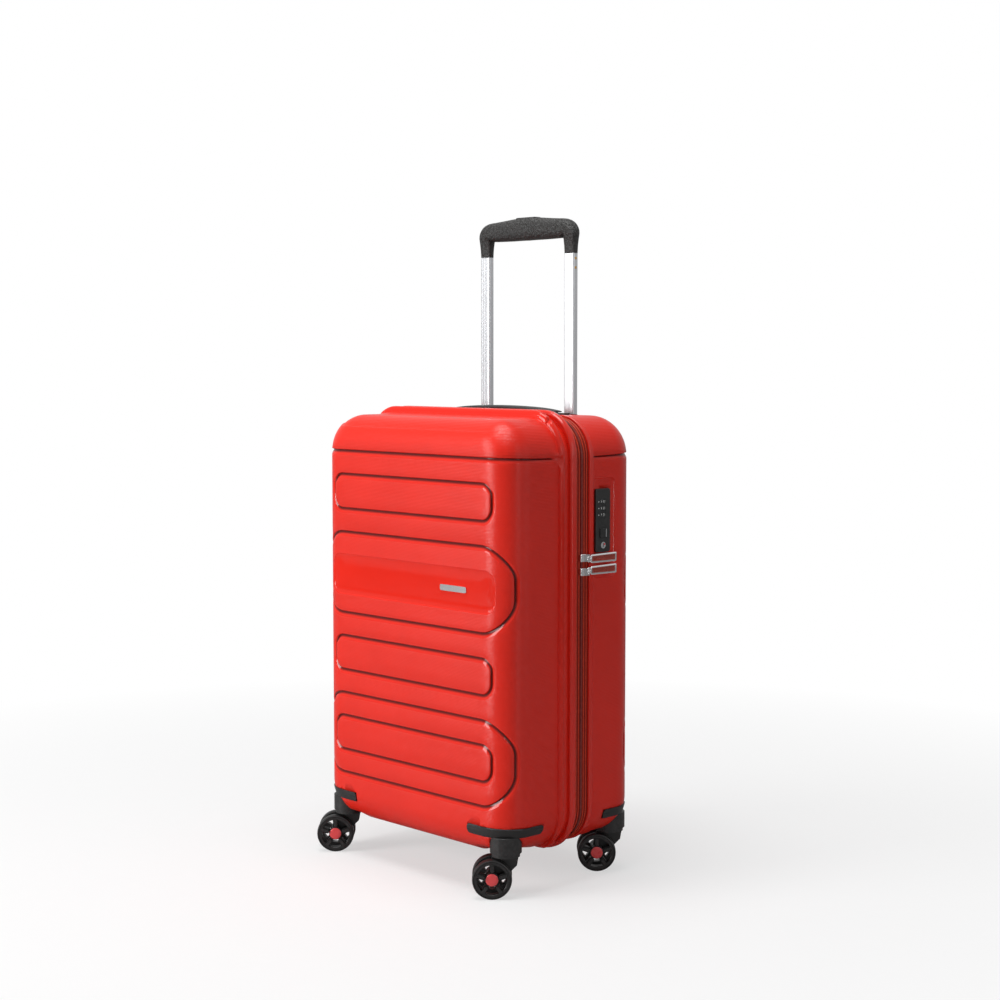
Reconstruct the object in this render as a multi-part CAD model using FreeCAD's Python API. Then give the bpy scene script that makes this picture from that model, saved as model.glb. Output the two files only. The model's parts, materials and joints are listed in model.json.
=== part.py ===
import FreeCAD, Part
import math
import os

# Hard-shell cabin suitcase on four twin-wheel casters. Millimetres, +Z up.
# +X is the lock side, -Y the front face, +Y the back with the trolley handle.
# Everything is built about the case's own centre line, and moved once at the end so that
# the origin is on the floor, under the middle of the whole object.

V = FreeCAD.Vector

# ---- case ----
wheel_radius = 22.5
case_width = 331.0
case_depth = 212.0
case_top = 537.0
case_bottom = 2 * wheel_radius - 1.0
side_corner_radius = 46.0
face_edge_radius = 36.0
wall = 2.5
rib_proud_side = 3.6
rib_proud_top = 8.0
rib_proud_bottom = 6.0
front_rib_width = 7.0
front_rib_y = -27.0
front_welt_width = 10.0
rear_welt_width = 6.5
rear_welt_proud = 1.5
rear_welt_crest_radius = 1.2
zip_gap = 21.5
tape_thickness = 1.5
tape_inset = 1.0
coil_width = 2.4
coil_thickness = 2.2
coil_above_tape = 0.6
seat_gap = 0.3

# ---- moulded pods and grooves ----
base_height = 59.3
cap_height = 43.2
groove_width = 3.0
groove_depth = 1.5
step_drop = 2.0
step_depth = 0.6
pod_half_height = 20.7
pod_corner_radius = 14.0
big_pod_corner_radius = 38.0
band_half_height = 24.0
band_drop = 3.0
band_depth = 1.0
badge_length = 44.0
pod_end_margin = 28.0
big_pod_end_margin = 5.5
band_end_margin = 23.0
badge_margin = 89.5
badge_height = 7.0
badge_thickness = 1.2

# ---- lock ----
lock_from_rear_rim = 15.5
lock_height = 73.0
lock_below_top = 155.0
dial_above_lock_foot = 58.0
button_above_lock_foot = 22.0
key_above_lock_foot = 8.0
lock_width = 24.0
lock_face_proud = 1.8
lock_body_depth = 16.0
lock_corner_radius = 3.0
lock_edge_radius = 0.8
lock_button_depth = 6.0
lock_key_depth = 9.0
panel_corner_radius = 6.0
panel_margin_y = 8.5
panel_margin_top = 12.0
panel_margin_bottom = 29.0
panel_depth = 1.0
dial_radius = 6.0
dial_width = 5.2
dial_pitch = 7.6
dial_proud = 1.0
dial_shaft_radius = 1.5
button_size = 11.0
button_proud = 1.2
button_travel = 1.0
key_radius = 3.8
running_clearance = 0.05
slide_clearance = 0.3

# ---- zip sliders and pulls ----
slider_length = 9.0
upper_slider_below_lock = 4.5
slider_spacing = 16.0
slider_width = 9.5
slider_height = 3.2
pull_length = 47.0
pull_height = 9.4
pull_thickness = 2.0
pull_lift = 3.6
pull_pin_radius = 1.0
pull_hinge_from_middle = 5.5
pull_corner_radius = 2.0
pull_tongue_width = 3.2
slider_corner_radius = 1.5
slider_edge_radius = 1.0

# ---- carry handle on the top ----
carry_y = 47.0
carry_half_length = 92.0
carry_width = 21.0
carry_thickness = 5.5
carry_rise = 5.5
carry_gap = 3.2
carry_leg_length = 12.0
carry_leg_width = 11.0
carry_travel = 12.0
carry_leg_x = 80.0
carry_foot = 3.0
carry_foot_lip = 3.0
carry_edge_radius = 1.5
plate_margin = 6.0
plate_thickness = 2.4

# ---- trolley handle ----
tube_spacing = 145.6
tube_from_back = 20.0
bracket_above_base = 24.0
inner_tube_below_cup = 185.5
grip_leg_above_case = 190.5
grip_above_case = 239.5
cup_depth = 45.5
tube_width = 15.5
tube_depth = 8.5
tube_wall = 1.2
tube_corner_radius = 2.0
tube_clearance = 0.4
outer_tube_wall = 1.3
grip_leg_width = 22.0
grip_depth = 22.0
grip_bar_height = 29.0
grip_edge_radius = 6.0
grip_shoulder_radius = 18.0
grip_inner_radius = 10.0
grip_crown = 7.0
grip_splay = 1.5
tube_in_grip = 20.0
cup_wall = 2.0
cup_clearance = 2.0
cup_lip = 1.0
cup_corner_radius = 7.0
cup_flange_width = 4.0
grip_button_length = 34.0
grip_button_width = 12.0
grip_button_proud = 1.6
grip_button_height = 7.0
grip_button_travel = 3.0
spring_radius = 3.0
spring_height = 7.0
rod_radius = 1.6
rod_bar_height = 2.4
catch_height = 14.0
bracket_height = 6.0

# ---- casters ----
stem_from_side = 25.1
stem_from_face = 21.4
caster_heading = 226.6
crown_above_wheel = 1.2
stem_length = 25.8
wing_low_above_base = 25.0
wing_height = 11.0
well_above_wheel = 7.0
trail = 15.5
wheel_width = 11.0
wheel_gap = 13.0
rim_thickness = 4.0
hub_radius = 8.0
spoke_count = 5
spoke_width = 6.4
spoke_thickness = 6.0
axle_radius = 2.5
cap_radius = 7.0
cap_thickness = 1.6
fork_thickness = 11.6
fork_hub_proud = 0.4
fork_crown_radius = 16.0
fork_crown_height = 3.8
stem_radius = 4.0
neck_radius = 18.0
neck_gap = 0.6
wing_reach_x = 40.0
wing_reach_y = 35.0
wing_proud = 1.2
wing_wall = 5.0
well_radius = 36.0

# ---- lining and hinge ----
lining_gap = 0.8
lining_from_tubes = 10.0
lining_thickness = 1.2
rear_lining_edge_radius = 12.0
hinge_strip_width = 34.0
hinge_strip_thickness = 1.0

# ---- worked out from the values above ----
half_width = case_width / 2
half_depth = case_depth / 2
lowest_groove_z = case_bottom + base_height
pod_pitch = (case_top - cap_height - lowest_groove_z) / 4
pod_half_length = half_width - pod_end_margin
big_pod_half_length = half_width - big_pod_end_margin
band_half_length = half_width - band_end_margin
badge_x = half_width - badge_margin
lock_low_z = case_top - lock_below_top
top_dial_z = lock_low_z + dial_above_lock_foot
button_z = lock_low_z + button_above_lock_foot
key_z = lock_low_z + key_above_lock_foot
upper_slider_z = lock_low_z - upper_slider_below_lock
lower_slider_z = upper_slider_z - slider_spacing
tube_y = half_depth - tube_from_back
outer_tube_bottom = case_bottom + bracket_above_base
cup_floor_z = case_top - cup_depth
inner_tube_bottom = cup_floor_z - inner_tube_below_cup
grip_leg_bottom = case_top + grip_leg_above_case
grip_top = case_top + grip_above_case
stem_x = half_width - stem_from_side
stem_y = half_depth - stem_from_face
fork_crown_low = 2 * wheel_radius + crown_above_wheel
stem_top = fork_crown_low + stem_length
wing_low = case_bottom + wing_low_above_base
wing_top = wing_low + wing_height
well_top = 2 * wheel_radius + well_above_wheel
rear_lining_depth = tube_y - lining_from_tubes
rear_rim_y = zip_gap + rear_welt_width
lock_y = rear_rim_y + lock_from_rear_rim
front_shell_end = -front_welt_width
zip_middle = zip_gap / 2
big_pods = (0, 2)
band_pod = 2
band_z = lowest_groove_z + pod_pitch * (band_pod + 0.5) - band_drop
face_x = half_width - panel_depth

nodes = {}


def rounded_prism(axis, a, b, radius, c):
    """A rounded rectangle pushed along an axis: x uses (y, z), y uses (x, z), z uses (x, y)."""
    place = {
        "x": lambda p, q, r: V(r, p, q),
        "y": lambda p, q, r: V(p, r, q),
        "z": lambda p, q, r: V(p, q, r),
    }[axis]
    edges = []
    corners = (
        (a[1] - radius, b[0] + radius, -90),
        (a[1] - radius, b[1] - radius, 0),
        (a[0] + radius, b[1] - radius, 90),
        (a[0] + radius, b[0] + radius, 180),
    )
    points = []
    for centre_a, centre_b, start in corners:
        for step in (0, 45, 90):
            angle = math.radians(start + step)
            points.append(
                place(centre_a + radius * math.cos(angle), centre_b + radius * math.sin(angle), c[0])
            )
    for k in range(4):
        first, middle, last = points[3 * k : 3 * k + 3]
        following = points[(3 * k + 3) % 12]
        edges.append(Part.Arc(first, middle, last).toShape())
        if last.distanceToPoint(following) > 1e-6:
            edges.append(Part.makeLine(last, following))
    face = Part.Face(Part.Wire(edges))
    return face.extrude(place(0, 0, c[1]) - place(0, 0, c[0]))


def box(x, y, z):
    return Part.makeBox(x[1] - x[0], y[1] - y[0], z[1] - z[0], V(x[0], y[0], z[0]))


def cylinder(radius, centre, direction, length):
    return Part.makeCylinder(radius, length, centre, direction)


def edges_where(shape, test):
    return [e for e in shape.Edges if all(test(v.Point) for v in e.Vertexes)]


def span(middle, size):
    return (middle - size / 2, middle + size / 2)


def case_loop(grow, y, low=None, high=None):
    """The case's cross-section, grown outwards by one value, pushed between two depths."""
    bottom = case_bottom - (grow if low is None else low)
    top = case_top + (grow if high is None else high)
    return rounded_prism(
        "y", (-half_width - grow, half_width + grow), (bottom, top), side_corner_radius + grow, y
    )


def case_half(grow, near, far, edge_radius):
    """One half of the case, from its rim to its face, with the face's edge rounded over."""
    half = case_loop(grow, (min(near, far), max(near, far)))
    return half.makeFillet(edge_radius, edges_where(half, lambda p: abs(p.y - far) < 1e-4))


def proud_of_case(p):
    return abs(p.x) > half_width + 1 or p.z > case_top + 1 or p.z < case_bottom - 1


def ring(outer, inner):
    return outer.cut(inner)


def pod_outline(half_length, half_height, radius, middle, grow, y):
    return rounded_prism(
        "y",
        (-half_length - grow, half_length + grow),
        (middle - half_height - grow, middle + half_height + grow),
        radius + grow,
        y,
    )


def mirrored(shape, x_side, y_side):
    """A shape of the front right corner, mirrored to another corner."""
    if x_side < 0:
        shape = shape.mirror(V(0, 0, 0), V(1, 0, 0))
    if y_side > 0:
        shape = shape.mirror(V(0, 0, 0), V(0, 1, 0))
    return shape


def skin_of_case(face_y, rim_y, depth):
    """The outermost layer of one case half, down to a depth."""
    side = math.copysign(1, face_y)
    return ring(
        case_half(1.0, rim_y, face_y + side, face_edge_radius + 1.0),
        case_half(-depth, rim_y, face_y - side * depth, face_edge_radius - depth),
    )


def pod_outlines():
    """Every moulded outline as (half length, half height, corner radius, middle height)."""
    outlines = []
    for k in range(4):
        middle = lowest_groove_z + pod_pitch * (k + 0.5)
        if k in big_pods:
            outlines.append((big_pod_half_length, pod_pitch / 2, big_pod_corner_radius, middle))
        if k != band_pod:
            outlines.append((pod_half_length, pod_half_height, pod_corner_radius, middle))
    return outlines


def groove_tool(face_y, rim_y):
    """The moulded grooves of one shell: a deep line, and a shallow step under it."""
    side = math.copysign(1, face_y)
    reach = sorted((face_y - side * (face_edge_radius + 1), face_y + side))
    half_groove = groove_width / 2
    cap_z = lowest_groove_z + 4 * pod_pitch
    lines = box(
        (-half_width - 5, half_width + 5), sorted((rim_y, face_y + side * 5)), span(cap_z, groove_width)
    )
    for half_length, half_height, radius, middle in pod_outlines():
        outer = pod_outline(half_length, half_height, radius, middle, half_groove, reach)
        inner = pod_outline(half_length, half_height, radius, middle, -half_groove, reach)
        lines = lines.fuse(ring(outer, inner))
    steps = lines.copy()
    steps.translate(V(0, 0, -step_drop))
    tool = skin_of_case(face_y, rim_y, groove_depth).common(lines)
    tool = tool.fuse(skin_of_case(face_y, rim_y, step_depth).common(steps))
    band = pod_outline(band_half_length, band_half_height, pod_corner_radius, band_z, 0, reach)
    return tool.fuse(skin_of_case(face_y, rim_y, band_depth).common(band))


def wheel_well(grow, x_side, y_side):
    """The round pocket moulded into the case's corner, which the wheels turn under."""
    well = cylinder(well_radius + grow, V(stem_x, -stem_y, 0), V(0, 0, 1), well_top + grow)
    return mirrored(well, x_side, y_side)


def housing_seat(x_side, y_side):
    """The hole and the step that one caster housing fills."""
    seat = cylinder(neck_radius + seat_gap, V(stem_x, -stem_y, 0), V(0, 0, 1), wing_top + seat_gap)
    return mirrored(seat.fuse(housing_body(seat_gap)), x_side, y_side)


def wing_zone(grow):
    """The moustache-shaped reach of a housing's wings over the front right corner."""
    x = (half_width - side_corner_radius - wing_reach_x * 0.5 - grow, half_width + 10)
    y = (-half_depth - 10, -half_depth + face_edge_radius + wing_reach_y * 0.6 + grow)
    return box(x, y, (wing_low - grow, wing_top + grow))


# ---- shells ----
def make_shell(face_y, rim_y):
    side = math.copysign(1, face_y)
    outer = case_half(0, rim_y, face_y, face_edge_radius)
    inner = case_half(-wall, rim_y - side, face_y - side * wall, face_edge_radius - wall)
    for x_side in (-1, 1):
        outer = outer.cut(wheel_well(0, x_side, side))
        inner = inner.cut(wheel_well(wall, x_side, side))
    shell = outer.cut(inner).cut(groove_tool(face_y, rim_y))
    for x_side in (-1, 1):
        shell = shell.cut(housing_seat(x_side, side))
    return shell


def housing_body(grow=0.0):
    """The outside of one caster housing: a neck round the stem, and wings along the shell."""
    skin = ring(
        case_half(
            wing_proud + grow, 0, -half_depth - wing_proud - grow, face_edge_radius + wing_proud + grow
        ),
        case_half(
            -wing_wall - grow, 10, -half_depth + wing_wall + grow, face_edge_radius - wing_wall - grow
        ),
    )
    wings = skin.common(wing_zone(grow))
    neck = cylinder(neck_radius + grow, V(stem_x, -stem_y, fork_crown_low + fork_crown_height + neck_gap),
                    V(0, 0, 1), wing_top - fork_crown_low - fork_crown_height - neck_gap + grow)
    envelope = case_half(
        wing_proud + grow, 0, -half_depth - wing_proud - grow, face_edge_radius + wing_proud + grow
    )
    upper_neck = neck.common(envelope)
    lower_neck = neck.common(box((0, 200), (-150, 0), (0, wing_low)))
    return wings.fuse([upper_neck, lower_neck]).removeSplitter()


corners = {"front_left": (-1, -1), "front_right": (1, -1), "rear_left": (-1, 1), "rear_right": (1, 1)}

front_shell = make_shell(-half_depth, front_shell_end)
front_rib = ring(
    case_loop(
        rib_proud_side, (front_rib_y, front_rib_y + front_rib_width), rib_proud_bottom, rib_proud_top
    ),
    case_loop(-wall / 2, (front_rib_y - 1, front_rib_y + front_rib_width + 1)),
)
rib_crest = edges_where(front_rib, proud_of_case)
front_rib = front_rib.makeFillet(front_rib_width * 0.4, rib_crest)
nodes["front_shell"] = front_shell.fuse(front_rib).removeSplitter()
rear_shell = make_shell(half_depth, rear_rim_y)

# ---- rims and zip ----
front_welt = ring(
    case_loop(rib_proud_side, (front_shell_end, 0), rib_proud_bottom, rib_proud_top),
    case_loop(-wall, (front_shell_end - 1, 1)),
)
welt_crest = edges_where(front_welt, proud_of_case)
nodes["front_rim_welt"] = front_welt.makeFillet(front_welt_width * 0.38, welt_crest)
rear_welt = ring(
    case_loop(rear_welt_proud, (zip_gap, rear_rim_y)), case_loop(-wall, (zip_gap - 1, rear_rim_y + 1))
)
nodes["rear_rim_welt"] = rear_welt.makeFillet(
    rear_welt_crest_radius,
    edges_where(
        rear_welt, lambda p: max(abs(p.x) - half_width, p.z - case_top, case_bottom - p.z) > 0.5
    ),
)
coil_span = span(zip_middle, coil_width)
tape_outer = -tape_inset
tape_inner = -tape_inset - tape_thickness
nodes["zip_tape_front"] = ring(
    case_loop(tape_outer, (0, coil_span[0] - seat_gap)), case_loop(tape_inner, (-1, zip_middle))
)
nodes["zip_tape_rear"] = ring(
    case_loop(tape_outer, (coil_span[1], zip_gap)), case_loop(tape_inner, (zip_middle, zip_gap + 1))
)
nodes["zip_coil"] = ring(
    case_loop(tape_outer + coil_above_tape, coil_span),
    case_loop(tape_outer + coil_above_tape - coil_thickness, span(zip_middle, 9)),
)
strip_x = -half_width - tape_inner + 0.3
nodes["hinge_strip"] = box(
    (strip_x, strip_x + hinge_strip_thickness),
    (coil_span[0], coil_span[0] + hinge_strip_width),
    (case_bottom + side_corner_radius + 10, case_top - side_corner_radius - 10),
)


# ---- lock on the right-hand side of the rear shell ----
lock_high_z = lock_low_z + lock_height
lock_face_x = half_width + lock_face_proud
lock_back_x = lock_face_x - lock_body_depth
panel_y = (lock_y - lock_width / 2 - panel_margin_y * 0.4, lock_y + lock_width / 2 + panel_margin_y)
panel_z = (lock_low_z - panel_margin_bottom, lock_high_z + panel_margin_top)
panel_cut = rounded_prism("x", panel_y, panel_z, panel_corner_radius, (face_x, half_width + 5))
lock_outline = rounded_prism(
    "x",
    span(lock_y, lock_width),
    (lock_low_z, lock_high_z),
    lock_corner_radius,
    (lock_back_x, lock_face_x),
)
lock_seat = rounded_prism(
    "x",
    span(lock_y, lock_width + 2 * seat_gap),
    (lock_low_z - seat_gap, lock_high_z + seat_gap),
    lock_corner_radius,
    (half_width - wall - 1, half_width + 5),
)
rear_shell = rear_shell.cut(panel_cut).cut(lock_seat)

dial_x = lock_face_x + dial_proud - dial_radius
dial_zs = [top_dial_z - k * dial_pitch for k in range(3)]
dial_room = dial_radius + slide_clearance
lock_housing = lock_outline.makeFillet(
    lock_edge_radius, edges_where(lock_outline, lambda p: abs(p.x - lock_face_x) < 1e-4)
)
for z in dial_zs:
    lock_housing = lock_housing.cut(
        cylinder(dial_room, V(dial_x, lock_y, z - dial_width / 2 - slide_clearance), V(0, 0, 1),
                 dial_width + 2 * slide_clearance)
    )
shaft_low = dial_zs[-1] - dial_width / 2 - 4
shaft_length = dial_zs[0] + dial_width / 2 + 4 - shaft_low
lock_housing = lock_housing.cut(
    cylinder(dial_shaft_radius, V(dial_x, lock_y, shaft_low), V(0, 0, 1), shaft_length)
)
button_hole = rounded_prism("x", span(lock_y, button_size + 2 * slide_clearance),
                            span(button_z, button_size + 2 * slide_clearance), 1.5,
                            (lock_face_x - lock_button_depth - button_travel - 0.5, lock_face_x + 1))
key_hole = cylinder(
    key_radius + running_clearance,
    V(lock_face_x - lock_key_depth - 0.3, lock_y, key_z),
    V(1, 0, 0),
    lock_key_depth + 5,
)
nodes["lock_housing"] = lock_housing.cut(button_hole).cut(key_hole)
for number, z in enumerate(dial_zs, 1):
    dial = cylinder(dial_radius, V(dial_x, lock_y, z - dial_width / 2), V(0, 0, 1), dial_width)
    dial = dial.makeChamfer(0.5, [e for e in dial.Edges if len(e.Vertexes) == 1])
    bore = cylinder(
        dial_shaft_radius + running_clearance,
        V(dial_x, lock_y, z - dial_width),
        V(0, 0, 1),
        2 * dial_width,
    )
    nodes["lock_dial_%d" % number] = dial.cut(bore)
nodes["lock_dial_shaft"] = cylinder(
    dial_shaft_radius, V(dial_x, lock_y, shaft_low), V(0, 0, 1), shaft_length
)
release = rounded_prism("x", span(lock_y, button_size), span(button_z, button_size), 1.2,
                        (lock_face_x - lock_button_depth, lock_face_x + button_proud))
nodes["lock_release_button"] = release.makeFillet(0.6, edges_where(release, lambda p: p.x > lock_face_x))
key_cylinder = cylinder(
    key_radius, V(lock_face_x - lock_key_depth, lock_y, key_z), V(1, 0, 0), lock_key_depth + 0.4
)
key_slot = box((lock_face_x - 3, lock_face_x + 2), span(lock_y, 1.1), span(key_z, 4.6))
nodes["lock_key_cylinder"] = key_cylinder.cut(key_slot)

# ---- zip sliders and pull tabs ----
slider_x = half_width + tape_outer + coil_above_tape + slide_clearance
pull_x = half_width + pull_lift
hinge_y = zip_middle + pull_hinge_from_middle
for name, z in (("upper", upper_slider_z), ("lower", lower_slider_z)):
    slider = rounded_prism(
        "x",
        span(zip_middle, slider_width),
        span(z, slider_length),
        slider_corner_radius,
        (slider_x, slider_x + slider_height),
    )
    slider_crest = edges_where(slider, lambda p: p.x > slider_x + slider_height - 0.1)
    slider = slider.makeFillet(slider_edge_radius, slider_crest)
    ear_x = (slider_x + slider_height - 1.5, pull_x + pull_thickness)
    ears = box(ear_x, (zip_middle - 1.5, hinge_y + 1.6), span(z, pull_height - 1.4))
    ears = ears.cut(
        box((pull_x - 1.3, pull_x + 9), (hinge_y - 2.6, hinge_y + 9), span(z, pull_tongue_width + 0.6))
    )
    pin_place = V(pull_x + pull_thickness / 2, hinge_y, z - pull_height / 2 + 0.7)
    pin = cylinder(pull_pin_radius, pin_place, V(0, 0, 1), pull_height - 1.4)
    nodes["zip_slider_" + name] = slider.fuse([ears, pin]).removeSplitter()
    tab_start = hinge_y + 2.2
    tab = rounded_prism(
        "x",
        (tab_start, tab_start + pull_length - 4),
        span(z, pull_height),
        pull_corner_radius,
        (pull_x, pull_x + pull_thickness),
    )
    window = rounded_prism(
        "x",
        (tab_start + 9, tab_start + pull_length - 8),
        span(z, pull_height - 3.6),
        1.2,
        (pull_x + pull_thickness - 0.6, pull_x + pull_thickness + 1),
    )
    tongue = box((pull_x, pull_x + pull_thickness), (hinge_y, tab_start + 1), span(z, pull_tongue_width))
    eye = cylinder(
        pull_thickness / 2 + 0.9,
        V(pull_x + pull_thickness / 2, hinge_y, z - pull_tongue_width / 2),
        V(0, 0, 1),
        pull_tongue_width,
    )
    eye_bore = cylinder(
        pull_pin_radius + running_clearance, pin_place - V(0, 0, 5), V(0, 0, 1), pull_height + 10
    )
    eye = eye.common(box((pull_x - 1, pull_x + 6), (hinge_y - 2, hinge_y + 5), span(z, 20)))
    nodes["zip_pull_" + name] = tab.cut(window).fuse([tongue, eye]).cut(eye_bore).removeSplitter()

# ---- carry handle ----
rest_z = case_top + plate_thickness + carry_gap
bar_points = (
    V(-carry_half_length, 0, rest_z), V(0, 0, rest_z + carry_rise), V(carry_half_length, 0, rest_z),
)
rise = V(0, 0, carry_thickness)
bar_edges = [
    Part.Arc(*bar_points).toShape(),
    Part.makeLine(bar_points[2], bar_points[2] + rise * 0.6),
    Part.Arc(bar_points[2] + rise * 0.6, bar_points[1] + rise, bar_points[0] + rise * 0.6).toShape(),
    Part.makeLine(bar_points[0] + rise * 0.6, bar_points[0]),
]
bar = Part.Face(Part.Wire(bar_edges)).extrude(V(0, carry_width, 0))
bar.translate(V(0, carry_y - carry_width / 2, 0))
bar = bar.makeFillet(carry_edge_radius, edges_where(bar, lambda p: abs(p.x) > 1))
plates = []
handle_slots = []
for side in (-1, 1):
    leg_low = case_top - wall - carry_travel - carry_foot - 1
    leg_x = span(side * carry_leg_x, carry_leg_length)
    leg_y = span(carry_y, carry_leg_width)
    leg = box(leg_x, leg_y, (leg_low, rest_z + 2))
    foot = box(
        span(side * carry_leg_x, carry_leg_length + 2 * carry_foot_lip),
        span(carry_y, carry_leg_width + 2 * carry_foot_lip),
        (leg_low, leg_low + carry_foot),
    )
    bar = bar.fuse([leg, foot])
    slot = box(
        span(side * carry_leg_x, carry_leg_length + 2 * slide_clearance),
        span(carry_y, carry_leg_width + 2 * slide_clearance),
        (case_top - wall - 1, rest_z),
    )
    plate = rounded_prism("z", span(side * (carry_leg_x + 2), carry_leg_length + 4 * plate_margin),
                          span(carry_y, carry_width + 3), 4, (case_top, case_top + plate_thickness))
    plates.append(plate.cut(slot))
    handle_slots.append(slot)
nodes["carry_handle"] = bar.removeSplitter()
nodes["carry_handle_plates"] = Part.makeCompound(plates)
for slot in handle_slots:
    rear_shell = rear_shell.cut(slot)


# ---- trolley handle ----
def tube(side, width, depth, thickness, low, high):
    x = side * tube_spacing / 2
    outer = rounded_prism("z", span(x, width), span(tube_y, depth), tube_corner_radius, (low, high))
    inner = rounded_prism("z", span(x, width - 2 * thickness), span(tube_y, depth - 2 * thickness),
                          tube_corner_radius - thickness * 0.6, (low - 1, high + 1))
    return outer.cut(inner)


outer_width = tube_width + 2 * (tube_clearance + outer_tube_wall)
outer_depth = tube_depth + 2 * (tube_clearance + outer_tube_wall)
tube_top = grip_leg_bottom + tube_in_grip
for name, side in (("left", -1), ("right", 1)):
    nodes["trolley_outer_tube_" + name] = tube(side, outer_width, outer_depth, outer_tube_wall,
                                               outer_tube_bottom, cup_floor_z - cup_wall)
    nodes["trolley_inner_tube_" + name] = tube(
        side, tube_width, tube_depth, tube_wall, inner_tube_bottom, tube_top
    )

leg_in = tube_spacing / 2 - grip_leg_width / 2
leg_out = tube_spacing / 2 + grip_leg_width / 2
shoulder_z = grip_top - grip_crown
bar_low = grip_top - grip_bar_height
outer_left = V(-leg_out - grip_splay, 0, shoulder_z)
outer_right = V(leg_out + grip_splay, 0, shoulder_z)
inner_left = V(-leg_in + 1, 0, bar_low + 2.5)
inner_right = V(leg_in - 1, 0, bar_low + 2.5)
grip_edges = [
    Part.makeLine(V(-leg_out, 0, grip_leg_bottom), outer_left),
    Part.Arc(outer_left, V(0, 0, grip_top), outer_right).toShape(),
    Part.makeLine(outer_right, V(leg_out, 0, grip_leg_bottom)),
    Part.makeLine(V(leg_out, 0, grip_leg_bottom), V(leg_in, 0, grip_leg_bottom)),
    Part.makeLine(V(leg_in, 0, grip_leg_bottom), inner_right),
    Part.Arc(inner_right, V(0, 0, bar_low), inner_left).toShape(),
    Part.makeLine(inner_left, V(-leg_in, 0, grip_leg_bottom)),
    Part.makeLine(V(-leg_in, 0, grip_leg_bottom), V(-leg_out, 0, grip_leg_bottom)),
]
grip = Part.Face(Part.Wire(grip_edges)).extrude(V(0, grip_depth, 0))
grip.translate(V(0, tube_y - grip_depth / 2, 0))
across = [e for e in grip.Edges if abs(e.Vertexes[0].Point.y - e.Vertexes[-1].Point.y) > 1]
grip = grip.makeFillet(grip_shoulder_radius, [e for e in across if e.Vertexes[0].Point.z > shoulder_z - 1])
across = [e for e in grip.Edges if abs(e.Vertexes[0].Point.y - e.Vertexes[-1].Point.y) > 1]
inner_corners = [e for e in across if abs(e.Vertexes[0].Point.z - inner_left.z) < 0.1]
grip = grip.makeFillet(grip_inner_radius, inner_corners)
for y in (tube_y - grip_depth / 2, tube_y + grip_depth / 2):
    rim_edges = edges_where(grip, lambda p: abs(p.y - y) < 1e-4)
    grip = grip.makeFillet(
        grip_edge_radius, [e for e in rim_edges if e.BoundBox.ZMax > grip_leg_bottom + 1]
    )
button_low = grip_top + grip_button_proud - grip_button_height
pocket_low = button_low - spring_height
for side in (-1, 1):
    x = side * tube_spacing / 2
    grip = grip.cut(rounded_prism("z", span(x, tube_width), span(tube_y, tube_depth), tube_corner_radius,
                                  (grip_leg_bottom - 1, tube_top)))
    grip = grip.cut(
        cylinder(rod_radius + 0.8, V(x, tube_y, tube_top - 1), V(0, 0, 1), button_low - tube_top)
    )
pocket = rounded_prism(
    "z",
    span(0, grip_button_length + 2 * slide_clearance),
    span(tube_y, grip_button_width + 2 * slide_clearance),
    3,
    (pocket_low, grip_top + 10),
)
rod_bar_z = (button_low - rod_bar_height, button_low)
channel = box(
    (-tube_spacing / 2 - 3, tube_spacing / 2 + 3),
    span(tube_y, 5.6),
    (rod_bar_z[0] - grip_button_travel - 1, button_low + 0.4),
)
nodes["trolley_grip"] = grip.cut(pocket).cut(channel)
cap = rounded_prism(
    "z",
    span(0, grip_button_length),
    span(tube_y, grip_button_width),
    2.8,
    (button_low, grip_top + grip_button_proud),
)
nodes["trolley_button"] = cap.makeFillet(1.2, edges_where(cap, lambda p: p.z > button_low + 1))
spring = cylinder(spring_radius, V(0, tube_y, pocket_low), V(0, 0, 1), rod_bar_z[0] - pocket_low)
nodes["trolley_button_spring"] = spring.cut(
    cylinder(spring_radius - 0.8, V(0, tube_y, pocket_low - 1), V(0, 0, 1), 20)
)
rods = box(
    (-tube_spacing / 2 - rod_radius, tube_spacing / 2 + rod_radius),
    span(tube_y, 2 * rod_radius),
    rod_bar_z,
)
for side in (-1, 1):
    rod_low = inner_tube_bottom + catch_height
    rods = rods.fuse(
        cylinder(
            rod_radius, V(side * tube_spacing / 2, tube_y, rod_low), V(0, 0, 1), rod_bar_z[1] - rod_low
        )
    )
nodes["trolley_push_rods"] = rods.removeSplitter()
catch_gap = 0.5
nodes["trolley_catches"] = Part.makeCompound([
    rounded_prism("z", span(side * tube_spacing / 2, tube_width - 2 * tube_wall - 2 * catch_gap),
                  span(tube_y, tube_depth - 2 * tube_wall - 2 * catch_gap), 0.8,
                  (inner_tube_bottom + grip_button_travel + 1, inner_tube_bottom + catch_height))
    for side in (-1, 1)
])
cup_x = leg_out + grip_splay + cup_clearance
cup_y = grip_depth / 2 + cup_clearance
cup_outer = rounded_prism(
    "z",
    (-cup_x - cup_wall, cup_x + cup_wall),
    span(tube_y, 2 * (cup_y + cup_wall)),
    cup_corner_radius + cup_wall,
    (cup_floor_z - cup_wall, case_top + 20),
)
cup_inner = rounded_prism(
    "z", (-cup_x, cup_x), span(tube_y, 2 * cup_y), cup_corner_radius, (cup_floor_z, case_top + 30)
)
cup_flange = rounded_prism(
    "z",
    (-cup_x - cup_flange_width, cup_x + cup_flange_width),
    span(tube_y, 2 * (cup_y + 3)),
    cup_corner_radius + cup_wall + cup_lip,
    (cup_floor_z + 5, case_top + 20),
)
lip_skin = ring(case_half(cup_lip, rear_rim_y, half_depth + cup_lip, face_edge_radius + cup_lip),
                case_half(0, rear_rim_y - 1, half_depth, face_edge_radius))
inside_case = case_half(cup_lip, rear_rim_y, half_depth + cup_lip, face_edge_radius + cup_lip)
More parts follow.
